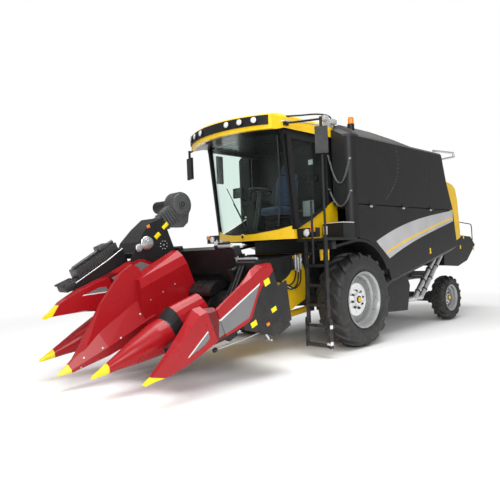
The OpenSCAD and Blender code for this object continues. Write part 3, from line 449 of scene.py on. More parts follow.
# Rear hood in yellow enamel, the chaff box below it in charcoal with small yellow catches,
# and two bright conveying tubes that rise along the left side, each held in three clamps.
dress(machine_yellow, "rear_hood")
dress(body_black, "chaff_box")
tube_steel = enamel("tube_steel", (0.66, 0.67, 0.68), 0.30, metal=0.85, peel=0.01)
dress(tube_steel, "side_tubes")
TUBE_ENDS = (((1150, 2160, 580), (1150, 3070, 1340)), ((1150, 2440, 585), (1150, 3390, 1410)))
CLAMP = [(0, 49), (3, 56), (27, 56), (30, 49)]
clamps = []
for low, high in TUBE_ENDS:
    run_tube = np.subtract(high, low).astype(float)
    for share in (0.16, 0.42, 0.70):
        clamps.append(lathe(low + share * run_tube, run_tube, CLAMP, 32))
place("tube_clamps", gather(*clamps), black_plastic, "chassis")
CATCH_SPOTS = ((4560.0, 1549.0), (4745.0, 1779.0), (5290.0, 1500.0))
tabs = gather(*(block((1056, y - 16, z - 45), (1078, y + 16, z + 45), 5.0) for y, z in CATCH_SPOTS))
place("chaff_box_catches", both(tabs), machine_yellow, "chassis")
latch = block((760, 4264, 1815), (840, 4298, 1890), 9.0)
place("rear_hood_latches", both(latch), black_plastic, "chassis")

# Wheels: cleated farm tyres on pressed rims. The rim is silver enamel, its disc white,
# with black wheel nuts and a yellow hub cap in front.
LUG = 42.0


def tyre(centre, r, w, seat, rim_w, lugs):
    """Tyre of one skin over (angle i, place s across the section). The angle of a point is a_i + sweep |u|,
    with u from -1 to 1 across the tread, so a cleat follows a grid line. A cleat raises the tread where its
    own wave of the angle is above zero, on alternate sides."""
    base, bead, edge = r - LUG, seat + 10.0, 0.5 * w
    section = np.array(
        [
            (0.50 * rim_w - 24, bead), (0.50 * rim_w - 18, bead + 34), (edge - 20, bead + 62),
            (edge - 4, bead + 105), (edge, 0.5 * (bead + base) + 12), (edge - 5, base - 78),
            (edge - 20, base - 42), (edge - 44, base - 16), (edge - 80, base - 5),
            (edge - 130, base), (0.0, base),
        ]
    )
    half = np.concatenate([section, section[-2::-1] * (-1.0, 1.0)])
    steps = np.linspace(0.0, len(half) - 1.0, 73)
    x = np.interp(steps, np.arange(len(half)), half[:, 0])
    radius = np.interp(steps, np.arange(len(half)), half[:, 1])
    per = 40
    angle = np.arange(lugs * per) * 2.0 * np.pi / (lugs * per)
    u = np.clip(np.abs(x) / (edge - 10.0), 0.0, 1.0)
    phase = (np.arange(lugs * per) % per) / per
    sides = np.where(x > 0, 0.0, 0.5)
    wave = np.abs((phase[:, None] + sides[None] + 0.5) % 1.0 - 0.5)
    width = 0.115 + 0.03 * u
    flank = np.clip((width[None] - wave) / 0.045 + 0.5, 0.0, 1.0)
    reach_in = np.clip((np.abs(x) + 26.0) / 30.0, 0.0, 1.0)
    reach_out = np.clip((radius - (base - 92.0)) / 34.0, 0.0, 1.0)
    lift = flank * flank * (3.0 - 2.0 * flank) * (reach_in * reach_out)[None]
    out_x = np.clip((np.abs(x) - (edge - 62.0)) / 50.0, 0.0, 1.0) * np.sign(x)
    rad = radius[None] + lift * (LUG - 6.0 * u)[None] * np.where(np.abs(out_x) > 0.9, 0.35, 1.0)[None]
    wide = x[None] + lift * out_x[None] * 9.0
    theta = angle[:, None] + 0.30 * u[None]
    rings = np.stack([wide, rad * np.cos(theta), rad * np.sin(theta)], 2)
    return skin(rings + np.asarray(centre, float), loop=True)


rubber = enamel("tyre_rubber", (0.018, 0.018, 0.019), 0.58, spec=0.5, dust=0.35, peel=0.06, grain=180.0)
nut_black = enamel("nut_black", IRON_BLACK, 0.42, dust=0.1)
WHITE = (0.92, 0.92, 0.91)
NUT = [(0, 23), (7, 23), (8, 18), (32, 18), (36, 13)]
for end, x, y, r, w, seat, rim_w, lugs, disc, disc_r, ring_r, nuts in (
    ("front", 1245.0, 0.0, 770.0, 480.0, 432.0, 430.0, 18, 50.0, 265.0, 145.0, 8),
    ("rear", 1110.0, 3630.0, 475.0, 320.0, 255.0, 260.0, 16, 20.0, 150.0, 105.0, 6),
):
    hub = tuple(at((x, y, r)))
    tread = tyre((x, y, r), r, w, seat, rim_w, lugs)
    hub_parts = []
    for a in np.linspace(0.2, 0.2 + 2.0 * np.pi, nuts, endpoint=False):
        spot = (x + disc + 6, y + ring_r * math.cos(a), r + ring_r * math.sin(a))
        hub_parts.append(lathe(spot, (1, 0, 0), NUT, 6))
    hub_parts.append(lathe((x + disc + 4, y, r), (1, 0, 0), [(0, 66), (40, 62), (52, 58), (54, 44)]))
    cap = lathe((x + disc + 40, y, r), (1, 0, 0), [(0, 42), (24, 42), (28, 39), (30, 30), (30.5, 4)])
    disc_area = (WHITE, [(hub, (0.0, 1.0, 1.0), (disc_r + 2.0) / 1000.0)])
    silver = enamel(
        end + "_rim_silver", (0.42, 0.425, 0.43), 0.30, metal=0.45, peel=0.01, dust=0.05, areas=[disc_area]
    )
    for side, flip in SIDES:
        wheel = end + "_" + side
        body = wheel + "_wheel"
        dress(silver, wheel + "_rim")
        piece = place(wheel + "_tread", flip(tread), rubber, body)
        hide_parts(wheel + "_tyre")
        place(wheel + "_nuts", flip(gather(*hub_parts)), nut_black, body)
        place(wheel + "_cap", flip(cap), machine_yellow, body)

# Cab: black posts and door frame, yellow skirt and roof, and tinted panes bonded to
# the frame. The underside of the roof is black lining.
CAB_BLACK, LINING = (0.009, 0.009, 0.010), (0.008, 0.008, 0.009)
cab_black = enamel("cab_enamel", CAB_BLACK, 0.42, spec=0.35)
dress(cab_black, "cab_frame", "cab_door_frame", "steering_console", "mirrors")
within = [((1.0, 0.0, 0.0), -0.905), ((-1.0, 0.0, 0.0), -0.905)]
within.append((tuple(at((0.0, 393.0, 1900.0))), (1.0, 1.0, 0.0), 1.672))
skirt_yellow = enamel(
    "skirt_enamel", YELLOW, 0.30, coat=0.3, peel=0.01, dust=0.1, shift=0.05, areas=[(LINING, within)]
)
dress(skirt_yellow, "cab_skirt")
below = [((0.0, 0.0, -1.0), -3.6), ((1.0, 0.0, 0.0), -0.972), ((-1.0, 0.0, 0.0), -0.972)]
below.append((tuple(at((0.0, -150.0, 3500.0))), (1.0, 1.0, 0.0), 1.637))
roof_yellow = enamel("roof_enamel", YELLOW, 0.30, coat=0.3, peel=0.01, shift=0.05, areas=[(LINING, below)])
dress(roof_yellow, "cab_roof")
glass, add, join = graph("window_glass")
pane = add("BsdfPrincipled", Roughness=0.02, IOR=1.16, Transmission_Weight=1.0)
pane.inputs["Base Color"].default_value = (0.84, 0.93, 0.89, 1.0)
through = add("BsdfTransparent", Color=(0.80, 0.88, 0.85, 1.0))
ray = add("LightPath")
mixed = add("MixShader")
out = add("OutputMaterial")
join(ray.outputs["Is Shadow Ray"], mixed.inputs["Fac"])
join(pane.outputs["BSDF"], mixed.inputs[1])
join(through.outputs["BSDF"], mixed.inputs[2])
join(mixed.outputs["Shader"], out.inputs["Surface"])
dress(glass, "cab_glass", "cab_door_glass")


# Roof lamps: six round work lamps in the black band, two headlamps and amber side
# markers on the boxes beside the cab, and an amber beacon behind it.
def moulded(name, colour, ribs):
    """Moulded lens: coloured plastic with ribs in the bump and a slow change of depth in the colour."""
    material, add, join = graph(name)
    spot = add("TexCoord")
    wave = add("TexWave", Scale=ribs, Distortion=0.4)
    cloud = add("TexNoise", Scale=30.0, Detail=3.0)
    depth = add("MapRange", From_Min=0.3, From_Max=0.7, To_Min=0.82, To_Max=1.08)
    tone = add("VectorMath", operation="SCALE")
    tone.inputs[0].default_value = colour
    bump = add("Bump", Strength=0.25, Distance=0.003)
    shader = add("BsdfPrincipled", Roughness=0.14, Coat_Weight=0.6, Coat_Roughness=0.05)
    out = add("OutputMaterial")
    join(spot.outputs["Object"], wave.inputs["Vector"])
    join(spot.outputs["Object"], cloud.inputs["Vector"])
    join(cloud.outputs["Fac"], depth.inputs["Value"])
    join(depth.outputs["Result"], tone.inputs["Scale"])
    join(wave.outputs["Fac"], bump.inputs["Height"])
    join(bump.outputs["Normal"], shader.inputs["Normal"])
    join(tone.outputs["Vector"], shader.inputs["Base Color"])
    join(shader.outputs["BSDF"], out.inputs["Surface"])
    return material


AMBER = (0.85, 0.23, 0.008)
BEACON = np.array((1100.0, 320.0, 3742.0))
BROW, BROW_R = np.array((0.0, -150.0, 3580.0)), 1740.0
clear_lens = moulded("clear_lens", (0.78, 0.80, 0.78), 60.0)
amber_lens = moulded("amber_lens", AMBER, 90.0)
beacon_foot = tuple(at(BEACON - (0.0, 0.0, 1.0)))
amber_top = [(AMBER, [(beacon_foot, (1.0, 1.0, 0.0), 0.058), ((0.0, 0.0, 1.0), beacon_foot[2])])]
dress(enamel("lamp_enamel", CAB_BLACK, 0.42, spec=0.35, areas=amber_top), "lamps")
LENS = [(0.0, 1.0), (0.05, 0.98), (0.13, 0.85), (0.19, 0.6), (0.22, 0.3), (0.225, 0.04)]
BEZEL = [(-0.2, 1.14), (0.02, 1.14), (0.1, 1.1), (0.1, 1.02), (-0.1, 1.0)]
DOME = [(0, 56), (9, 58), (12, 52), (60, 54), (100, 53), (118, 51), (124, 40), (127, 5)]


def round_lamp(spot, way, r):
    """Lens and ring of a round lamp of radius r that shines along way."""
    return tuple(lathe(spot, way, np.array(outline) * r) for outline in (LENS, BEZEL))


lamps = []
for a in np.radians((-26.2, -18.4, -10.6, 10.6, 18.4, 26.2)):
    way = np.array((math.sin(a), -math.cos(a), 0.0))
    lamps.append(round_lamp(BROW + way * BROW_R, way, 42.0))
lamps += [round_lamp((x, -1020.0, 1875.0), (0.0, -1.0, 0.0), 53.0) for x in (1130.0, -1130.0)]
place("lamp_lenses", gather(*(lens_shape for lens_shape, _ in lamps)), clear_lens, "chassis")
place("lamp_rings", gather(*(ring_shape for _, ring_shape in lamps)), zinc, "chassis")
marker = block((1203, -1026, 1883), (1292, -1000, 1947), 8.0)
beacon = lathe(BEACON, (0, 0, 1), DOME, 36)
place("amber_lamps", gather(both(marker), beacon), amber_lens, "chassis")


# Operator seat: sprung pedestal with a rubber bellows under a padded cushion, backrest
# and head rest, all covered in dark blue woven cloth with sewn channels.
def woven(name, colour):
    """Plain weave: two crossed bands of threads in colour and bump, with worn lighter patches."""
    material, add, join = graph(name)
    spot = add("TexCoord")
    warp = add("TexWave", Scale=160.0, bands_direction="X")
    weft = add("TexWave", Scale=160.0, bands_direction="Z")
    cross = add("Math", operation="MULTIPLY")
    wear = add("TexNoise", Scale=14.0, Detail=6.0)
    bright = add("MapRange", From_Min=0.0, From_Max=1.0, To_Min=0.65, To_Max=1.25)
    blend = add("Math", operation="MULTIPLY")
    tone = add("VectorMath", operation="SCALE")
    tone.inputs[0].default_value = colour
    bump = add("Bump", Strength=0.4, Distance=0.002)
    shader = add("BsdfPrincipled", Roughness=0.85, Sheen_Weight=0.35, Sheen_Roughness=0.4)
    out = add("OutputMaterial")
    for texture in (warp, weft, wear):
        join(spot.outputs["Object"], texture.inputs["Vector"])
    join(warp.outputs["Fac"], cross.inputs[0])
    join(weft.outputs["Fac"], cross.inputs[1])
    join(cross.outputs["Value"], bright.inputs["Value"])
    join(bright.outputs["Result"], blend.inputs[0])
    join(wear.outputs["Fac"], blend.inputs[1])
    join(blend.outputs["Value"], tone.inputs["Scale"])
    join(cross.outputs["Value"], bump.inputs["Height"])
    join(bump.outputs["Normal"], shader.inputs["Normal"])
    join(tone.outputs["Vector"], shader.inputs["Base Color"])
    join(shader.outputs["BSDF"], out.inputs["Surface"])
    return material


def cushion(mid, half, channels, turn):
    """Crowned pad over (s along x, a round the section): y = |cos a|^.55 and z = |sin a|^.7 with their signs,
    both falling to the ends as (1 - s^8)^(1/4), sides drawn in between the corners, and sewn channels
    as dents exp(-((s - c) / .045)^2) in the upper face."""
    s = np.sin(np.linspace(-0.5, 0.5, 61) * np.pi * 0.985)[:, None]
    a = np.linspace(0.0, 2.0 * np.pi, 80, endpoint=False)[None]
    y = np.sign(np.cos(a)) * np.abs(np.cos(a)) ** 0.55
    z = np.sign(np.sin(a)) * np.abs(np.sin(a)) ** 0.70
    end = (1.0 - np.abs(s) ** 8) ** 0.25
    crown = 0.84 + 0.16 * (1.0 - s * s) * (1.0 - y * y)
    dents = sum(np.exp(-(((s - c) / 0.045) ** 2)) for c in channels) + np.zeros_like(s)
    high = z * end * crown - 0.16 * dents * np.clip(z, 0.0, 1.0) * end
    rings = np.stack([s * (1.0 - 0.05 * (1.0 - y * y)), y * end * (1.0 - 0.05 * (1.0 - s * s)), high], 2)
    return skin((rings * half) @ np.asarray(turn).T + np.asarray(mid, float))


seat_cloth = woven("seat_cloth", (0.040, 0.085, 0.22))
LEAN = math.radians(-8.0)
sine, cosine = math.sin(LEAN), math.cos(LEAN)
upright = np.array(((1, 0, 0), (0, -sine, -cosine), (0, cosine, sine)), float)
back_foot = np.array((0.0, -215.0, 2390.0))
up_back = np.array((0.0, -sine, cosine))
for name, mid, half, channels, turn in (
    ("seat_cushion", (0, -460, 2322), (258, 258, 76), (-0.55, 0.55), np.eye(3)),
    ("seat_back", back_foot + up_back * 312 + (0, 5, 0), (248, 306, 64), (-0.5, 0.5), upright),
    ("head_rest", back_foot + up_back * 706, (138, 92, 44), (), upright),
):
    pad = place(name, cushion(mid, half, channels, turn), seat_cloth, "chassis")
    if name == "seat_cushion":
        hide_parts("operator_seat")
# The bellows is a rounded square of (sign cos a |cos a|^.5, sign sin a |sin a|^.5), pleated with height.
PLEATS, BELLOWS_Y, BELLOWS_FOOT, BELLOWS_H = 6.0, -430.0, 1952.0, 292.0
fold = np.linspace(0.0, 1.0, 49)[:, None]
a = np.linspace(0.0, 2.0 * np.pi, 48, endpoint=False)[None]
pleat = 182.0 + 14.0 * np.cos(fold * 2.0 * np.pi * PLEATS)
across = np.sign(np.cos(a)) * np.abs(np.cos(a)) ** 0.5
back = np.sign(np.sin(a)) * np.abs(np.sin(a)) ** 0.5
bellows = np.stack([across * pleat, back * pleat + BELLOWS_Y, BELLOWS_FOOT + BELLOWS_H * fold + 0.0 * a], 2)
place("seat_bellows", skin(bellows), black_plastic, "chassis")


# Cab fittings: screen on a stalk and drive lever beside the seat, gauges, a grey control
# box and a blank tag on the rear wall, wiper on the windscreen, and the door handle.
def bent(points, count=48):
    """Smooth path through points: Catmull-Rom pieces, evenly cut."""
    p = np.asarray(points, float)
    p = np.concatenate([[2 * p[0] - p[1]], p, [2 * p[-1] - p[-2]]])
    t = np.linspace(0.0, len(p) - 3.0, count)
    i = np.minimum(t.astype(int), len(p) - 4)
    f = (t - i)[:, None]
    a, b, c, d = (p[i + k] for k in range(4))
    return 0.5 * (2 * b + (c - a) * f + (2 * a - 5 * b + 4 * c - d) * f**2 + (3 * b - a - 3 * c + d) * f**3)


def tube(path, radius, sides=14):
    """Round bar along a path."""
    path = np.asarray(path, float)
    run = np.gradient(path, axis=0)
    run /= np.linalg.norm(run, axis=1)[:, None]
    side = np.cross(run, np.eye(3)[np.argmin(np.abs(run).mean(0))])
    side /= np.linalg.norm(side, axis=1)[:, None]
    angle = np.linspace(0.0, 2.0 * np.pi, sides, endpoint=False)[None, :, None]
    ring = np.cos(angle) * side[:, None] + np.sin(angle) * np.cross(run, side)[:, None]
    return skin(path[:, None] + radius * ring)


screen_glass = enamel("screen_glass", (0.012, 0.016, 0.020), 0.12, spec=0.6, dust=0.0)
grey_plastic = enamel("grey_plastic", (0.36, 0.37, 0.38), 0.5, spec=0.4, peel=0.06, grain=400.0, dust=0.05)
white_plate = enamel("white_plate", (0.80, 0.80, 0.78), 0.4, spec=0.4, dust=0.1)
LEVER = [(0, 34), (14, 26), (40, 15), (110, 14), (122, 24), (160, 27), (178, 16), (180, 3)]
GAUGE, GAUGE_FACE = [(0, 62), (30, 62), (36, 56), (30, 50)], [(0, 48), (2, 48), (3, 40)]
GAUGE_SPOTS = ((327, 2834), (500, 2875))
handle = [(962, -1030, 2210), (985, -1025, 2215), (985, -960, 2230), (985, -905, 2245), (962, -900, 2246)]
black_fittings = gather(
    block((-640, -905, 2590), (-395, -862, 2770), 14.0),
    tube(bent([(-520, -872, 2640), (-520, -800, 2580), (-500, -700, 2528)]), 14.0),
    lathe((-430, -560, 2526), (0.1, -0.15, 1), LEVER),
    *(lathe((x, 52, z), (0, -1, 0), GAUGE) for x, z in GAUGE_SPOTS),
    block((-896, -1055, 2880), (-862, -905, 3385), 14.0),
    tube(bent([(60, -1262, 1985), (-60, -1300, 2240), (-170, -1322, 2440)]), 9.0),
    tube(bent([(-20, -1285, 2180), (-150, -1312, 2420), (-330, -1320, 2710)]), 7.0),
    tube(bent(handle), 9.0),
    tube(bent([(700, -1180, 2010), (760, -1178, 2500), (800, -1225, 3000), (820, -1260, 3400)]), 16.0),
)
place("cab_fittings", black_fittings, black_plastic, "chassis")
place("cab_screen", block((-628, -909, 2602), (-407, -901, 2758), 3.0), screen_glass, "chassis")
place("control_box", block((205, 12, 2215), (445, 56, 2500), 16.0), grey_plastic, "chassis")
tag = block((350, 44, 3135), (452, 54, 3225), 4.0)
gauge_faces = [lathe((x, 30, z), (0, -1, 0), GAUGE_FACE) for x, z in GAUGE_SPOTS]
place("rear_wall_tags", gather(tag, *gauge_faces), white_plate, "chassis")

# Mirrors: black boxes on the roof arms. Each holds its silvered glass in the face that
# looks back at the seat.
MIRROR_X, MIRROR_Z = 1495, 3230
mirror_silver = enamel("mirror_silver", (0.75, 0.77, 0.78), 0.10, metal=1.0, dust=0.0, peel=0.0)
for (side, flip), y, degrees in zip(SIDES, (-1030, -1160), (38.7, 12.0)):
    c, s = math.cos(math.radians(degrees)), math.sin(math.radians(degrees))
    spin = np.array(((c, -s, 0), (s, c, 0), (0, 0, 1)))
    flat, faces = block((-86, -2, -192), (86, 4, 192), 10.0)
    pane_shape = (flat @ spin.T + (MIRROR_X, y, MIRROR_Z), faces)
    place(side + "_mirror_glass", flip(pane_shape), mirror_silver, "chassis")

# Cab roof rail: a bright grab rail along the left roof edge and a black bar over the
# rear corner that holds two grey aerial boxes. A bare disc marks the skirt's middle.
rail_path = [
    (984, -1330, 3560), (1012, -1310, 3575), (1016, -900, 3615),
    (1016, -420, 3640), (984, -400, 3640),
]
bar_path = [
    (965, -1200, 3675), (990, -900, 3730), (1000, -500, 3812),
    (1000, -200, 3838), (985, -60, 3790), (960, 40, 3690),
]
place("roof_rail", tube(bent(rail_path), 11.0), tube_steel, "chassis")
place("roof_bar", tube(bent(bar_path), 13.0), cab_black, "chassis")
boxes = gather(
    block((930, -330, 3742), (1040, -210, 3826), 12.0),
    block((925, -120, 3712), (1035, 20, 3800), 12.0),
    block((940, -250, 3640), (975, -60, 3750), 6.0),
)
place("aerial_boxes", boxes, grey_plastic, "chassis")
DISC_Z = 1871
disc = lathe((0, -1294, DISC_Z), (0, -1, 0), [(0, 46), (10, 46), (15, 40), (14, 28)])
place("skirt_disc", disc, machine_yellow, "chassis")
middle = lathe((0, -1300, DISC_Z), (0, -1, 0), [(0, 29), (9, 29), (11, 24), (12, 3)])
place("skirt_disc_middle", middle, black_plastic, "chassis")


# Rear end: a bent hand rail on each side of the chaff box, and a lamp cluster bolted to its
# rear slope, with a red and an amber lens in a black housing.
def pitched(cosine, sine):
    """Turn about the machine's x axis, from the cosine and sine of its angle."""
    return np.array(((1.0, 0.0, 0.0), (0.0, cosine, sine), (0.0, -sine, cosine)))


RAIL_X = 1040.0
rail_yz = [
    (4470, 1815), (4482, 2040), (4556, 2122), (4880, 2108),
    (5216, 2085), (5286, 2020), (5300, 1800), (5302, 1662),
]
rail = tube(bent(np.column_stack([np.full(len(rail_yz), RAIL_X), rail_yz]), 64), 11.0)
place("rear_rails", both(rail), chassis_black, "chassis")
red_lens = moulded("red_lens", (0.45, 0.008, 0.010), 80.0)
for name, low, high, finish in (
    ("tail_lamp_boxes", (752, 5223, 1674), (968, 5327, 1708), black_plastic),
    ("tail_lamps_red", (762, 5233, 1668), (872, 5317, 1716), red_lens),
    ("tail_lamps_amber", (878, 5233, 1668), (958, 5317, 1716), amber_lens),
):
    place(name, both(block(low, high, 10.0, pitched(0.782, 0.623))), finish, "chassis")

# Platform and ladder: black enamel on welded tube and plate. The tool box has a white strip and
# a blank white card, the lower ladder has white reflectors, and two filter bowls hang below.
dress(chassis_black, "platform", "ladder_lower")
cards = gather(
    block((1015, -446, 1850), (1090, -438, 1985), 3.0),
    block((1000, -444, 2026), (1400, -430, 2036), 3.0),
    block((1396, -440, 2026), (1404, -140, 2036), 3.0),
)
place("tool_box_cards", cards, white_plate, "chassis")
reflectors = gather(
    block((1556, -1088, 196), (1563, -1022, 250), 3.0),
    block((1556, -1088, 440), (1563, -1022, 494), 3.0),
    block((1500, -1096, 196), (1555, -1089, 232), 3.0),
)
place("ladder_reflectors", reflectors, white_plate, "ladder_lower")
BOWL = [(0, 14), (4, 22), (50, 26), (120, 26), (124, 30), (172, 30), (176, 24)]
bowls = gather(*(lathe((x, -800, 1440), (0, 0, 1), BOWL, 20) for x in (1230.0, 1344.0)))
place("filter_bowls", bowls, machine_yellow, "chassis")
place("filter_bracket", block((1180, -850, 1612), (1480, -750, 1750), 8.0), chassis_black, "chassis")


# Safety chains: two short link chains that close the gap between the cab's rear corner
# and the body, each held in an eye at both ends.
def chain(path, wire, pitch):
    """Link chain: closed stadium-shaped links of round wire along a path, each turned a quarter to the one
    before it."""
    step = np.concatenate([[0.0], np.cumsum(np.linalg.norm(np.diff(path, axis=0), axis=1))])
    count = int(step[-1] / pitch)
    along = (np.arange(count) + 0.5) * step[-1] / count
    mids = np.stack([np.interp(along, step, path[:, i]) for i in range(3)], 1)
    runs = np.stack([np.gradient(np.interp(along, step, path[:, i])) for i in range(3)], 1)
    a = np.linspace(0.0, 2.0 * np.pi, 20, endpoint=False)
    long, wide = 0.78 * pitch * np.cos(a), 0.42 * pitch * np.sign(np.sin(a)) * np.abs(np.sin(a)) ** 0.8
    b = np.linspace(0.0, 2.0 * np.pi, 8, endpoint=False)[None, :, None]
    links = []
    for k, (mid, run_k) in enumerate(zip(mids, runs)):
        run_k = run_k / np.linalg.norm(run_k)
        side = np.cross(run_k, (0.3, 1.0, 0.1))
        side /= np.linalg.norm(side)
        other = np.cross(run_k, side)
        across, off = (side, other) if k % 2 else (other, side)
        centre = mid + long[:, None] * run_k + wide[:, None] * across
        outward = np.cos(a)[:, None] * run_k + np.sin(a)[:, None] * across
        ring = np.cos(b) * outward[:, None] + np.sin(b) * off
        links.append(skin(centre[:, None] + wire * ring, loop=True))
    return gather(*links)


chain_steel = enamel("chain_steel", (0.20, 0.20, 0.20), 0.38, metal=0.8, peel=0.02)
for name, start, stop, sag in (
    ("upper_chain", (936, -140, 3190), (1362, -144, 3075), 430.0),
    ("lower_chain", (936, -140, 2620), (1360, -144, 2550), 270.0),
):
    t = np.linspace(0.0, 1.0, 40)[:, None]
    dip = t * (1.0 - t) * 4.0 * sag * np.array((0.0, 0.0, 1.0))
    hang = np.array(start) + t * (np.array(stop) - start) - dip
    piece = place(name, chain(hang, 5.0, 30.0), chain_steel, "chassis")
    cab_eye = lathe((917, -130, start[2]), (1, 0, 0), [(0, 16), (4, 16), (6, 8), (26, 8), (27, 3)], 16)
    body_eye = lathe((stop[0], -118, stop[2]), (0, -1, 0), [(0, 16), (4, 16), (6, 8), (32, 8), (33, 3)], 16)
    place(name + "_eyes", gather(cab_eye, body_eye), zinc, "chassis")


# Feeder house with its lift cylinders: yellow enamel on welded plate, bright rods. A black
# chain guard covers the upper part of each side, with three bright couplers on a bracket.
def strip(y, low, high, x0, x1):
    """Ribbon from x0 to x1 whose lower and upper edge have the heights low and high at each y."""
    return ribbon(np.column_stack([y, low]), np.column_stack([y, high]), x0, x1)


FEEDER_FRONT, FEEDER_SLOPE = -2231.0, 0.0969
mouth = (CHARCOAL, [((0.0, -1.0, -0.4), 2.09)])
dress(enamel("feeder_enamel", YELLOW, 0.34, coat=0.2, dust=0.35, shift=0.08, areas=[mouth]), "feeder_house")
dress(machine_yellow, "lift_barrels")
dress(tube_steel, "lift_rods")
guard_y = np.array([-2190.0, -1900, -1500, -1250, -1100, -1000, -920, -860, -820])
guard_foot = np.array([1180.0, 1150, 1120, 1115, 1130, 1170, 1220, 1280, 1340])
guard_top = 1405.0 + (guard_y - FEEDER_FRONT) * FEEDER_SLOPE
guard = gather(
    strip(guard_y, guard_foot, guard_top, 618.0, 644.0),
    strip(guard_y, guard_foot + 14, guard_foot + 34, 640.0, 652.0),
    block((640, -860, 1300), (668, -640, 1480), 8.0),
)
roof_y = np.linspace(-2180.0, -640.0, 9)
roof_z = 1397.0 + (roof_y - FEEDER_FRONT) * FEEDER_SLOPE
cover = strip(roof_y, roof_z - 4, roof_z + 10, -641.0, 641.0)
place("chain_guards", gather(both(guard), cover), chassis_black, "feeder")
card = block((618, -1000, 1012), (624, -780, 1040), 2.0, pitched(0.88, 0.47))
place("feeder_card", card, white_plate, "feeder")
COUPLER = [
    (0, 14), (6, 17), (60, 17), (66, 26), (130, 26),
    (136, 30), (190, 30), (196, 20), (250, 18), (254, 8),
]
COUPLER_SPOTS = ((-800, 1290), (-735, 1262), (-670, 1300))
couplers = gather(*(lathe((690, y, z), (0, 0, 1), COUPLER, 20) for y, z in COUPLER_SPOTS))
place("hose_couplers", couplers, zinc, "feeder")

# Header hoses: three rubber hydraulic hoses that hang from the couplers in a loop and run
# forward along the guard to the back wall of the header.
hose_rubber = enamel("hose_rubber", (0.010, 0.010, 0.010), 0.55, spec=0.4, peel=0.1, grain=500.0, dust=0.1)
for name, y, z, drop in (
    ("front_hose", -800, 1292, 0.0),
    ("middle_hose", -735, 1264, 34.0),
    ("rear_hose", -670, 1302, 62.0),
):
    side = 690.0 + 0.45 * drop
    route = bent(
        [
            (690, y, z),
            (690, y - 6, z - 75),
            (side, y - 62, z - 178 - drop * 0.5),
            (side, y - 195, z - 232 - drop),
            (side, y - 345, z - 190 - drop * 0.8),
            (side, -1300, 1190 - drop * 0.5),
            (side - 10, -1700, 1285 - drop * 0.6),
            (side - 20, -2000, 1330 - drop * 0.8),
            (side - 30, -2185, 1345 - drop),
        ],
        60,
    )
    hose = place(name, tube(route, 12.0), hose_rubber, "feeder")

# Header: black frame and rows, red covers with yellow tips, and a grey film panel on the
# outer face of each wing cover. The right wing lies folded over the middle.
TILT = math.radians(22.0)
HEADER_Y, HEADER_Z = -2200.0, 1000.0


def tilted(shape):
    """A shape in the header's own mm (y along the rows, z off them), put at the header's place and slope."""
    points, faces = shape
    x, y, z = points.T
    back = HEADER_Y + y * math.cos(TILT) - z * math.sin(TILT)
    high = HEADER_Z + y * math.sin(TILT) + z * math.cos(TILT)
    return np.stack([x, back, high], 1), faces


ALONG = np.array((0.0, math.cos(TILT), math.sin(TILT)))
OFF = np.array((0.0, -math.sin(TILT), math.cos(TILT)))
FOOT = at((0.0, HEADER_Y, HEADER_Z))


def beyond(normal, limit):
    """Area test in the header's own mm: passed where normal . (x, y, z) is above the limit."""
    turned = normal[0] * np.array((1.0, 0.0, 0.0)) + normal[1] * ALONG + normal[2] * OFF
    return tuple(turned), float(limit / 1000.0 + turned @ FOOT)


def outlined(corners):
    """Area tests of a convex outline of (y, z) corners, in the header's own mm, named either way round."""
    corners = np.asarray(corners, float)
    mid = corners.mean(0)
    tests = []
    for a, b in zip(corners, np.roll(corners, -1, 0)):
        normal = np.array((-(b - a)[1], (b - a)[0]))
        normal /= np.linalg.norm(normal)
        normal *= np.sign(normal @ (mid - a))
        tests.append(beyond((0.0, *normal), normal @ a))
    return tests


# The darker red is painted shade, for the joint where a cover's front snout meets its rear hood.
RED, JOINT_SHADE_RED = (0.35, 0.007, 0.011), (0.14, 0.003, 0.006)
LEMON = (0.86, 0.72, 0.015)
GREY_FILM, WHITE_FILM = (0.18, 0.18, 0.185), (0.78, 0.78, 0.77)
COVER_FINISH = dict(coat=0.10, spec=0.3, peel=0.004, dust=0.02, shift=0.03, wear=0.2)
FOLD_H = 840.0
FRONT_PANEL = [(-1582, 76), (-1213, 202), (-1221, 116), (-1317, 81)]
FRONT_EDGE = [(-1582, 76), (-1213, 202), (-1213, 186), (-1560, 70)]
REAR_PANEL = [(-1003, 229), (-229, 329), (-497, 90), (-583, 25), (-1091, 41)]
REAR_EDGE = [(-1003, 229), (-229, 329), (-252, 308), (-1008, 209)]


def cover_paint(name, turned_over, outer_x):
    """Red cover with painted shade as a darker red band where the front snout meets the rear hood, the film
    panels on its outer face, which looks along +x past the given x, and the yellow tip. A wing that lies
    turned over carries the same outlines upside down."""

    def turn(outline):
        return [(y, FOLD_H - z if turned_over else z) for y, z in outline]

    outer = [beyond((1.0, 0.0, 0.0), outer_x)]
    tip = beyond((0.0, -0.569, 0.823), 1752.0) if turned_over else beyond((0.0, -0.569, -0.823), 1061.0)
    areas = [
        # Darker red band between the front snout and the rear hood: painted shade.
        (JOINT_SHADE_RED, [beyond((0.0, 1.0, 0.0), -1128.0), beyond((0.0, -1.0, 0.0), 1004.0)]),
        (GREY_FILM, outlined(turn(FRONT_PANEL)) + outer),
        (WHITE_FILM, outlined(turn(FRONT_EDGE)) + outer),
        (GREY_FILM, outlined(turn(REAR_PANEL)) + outer),
        (WHITE_FILM, outlined(turn(REAR_EDGE)) + outer),
        (LEMON, [tip]),
    ]
    return enamel(name, RED, 0.28, areas=areas, **COVER_FINISH)


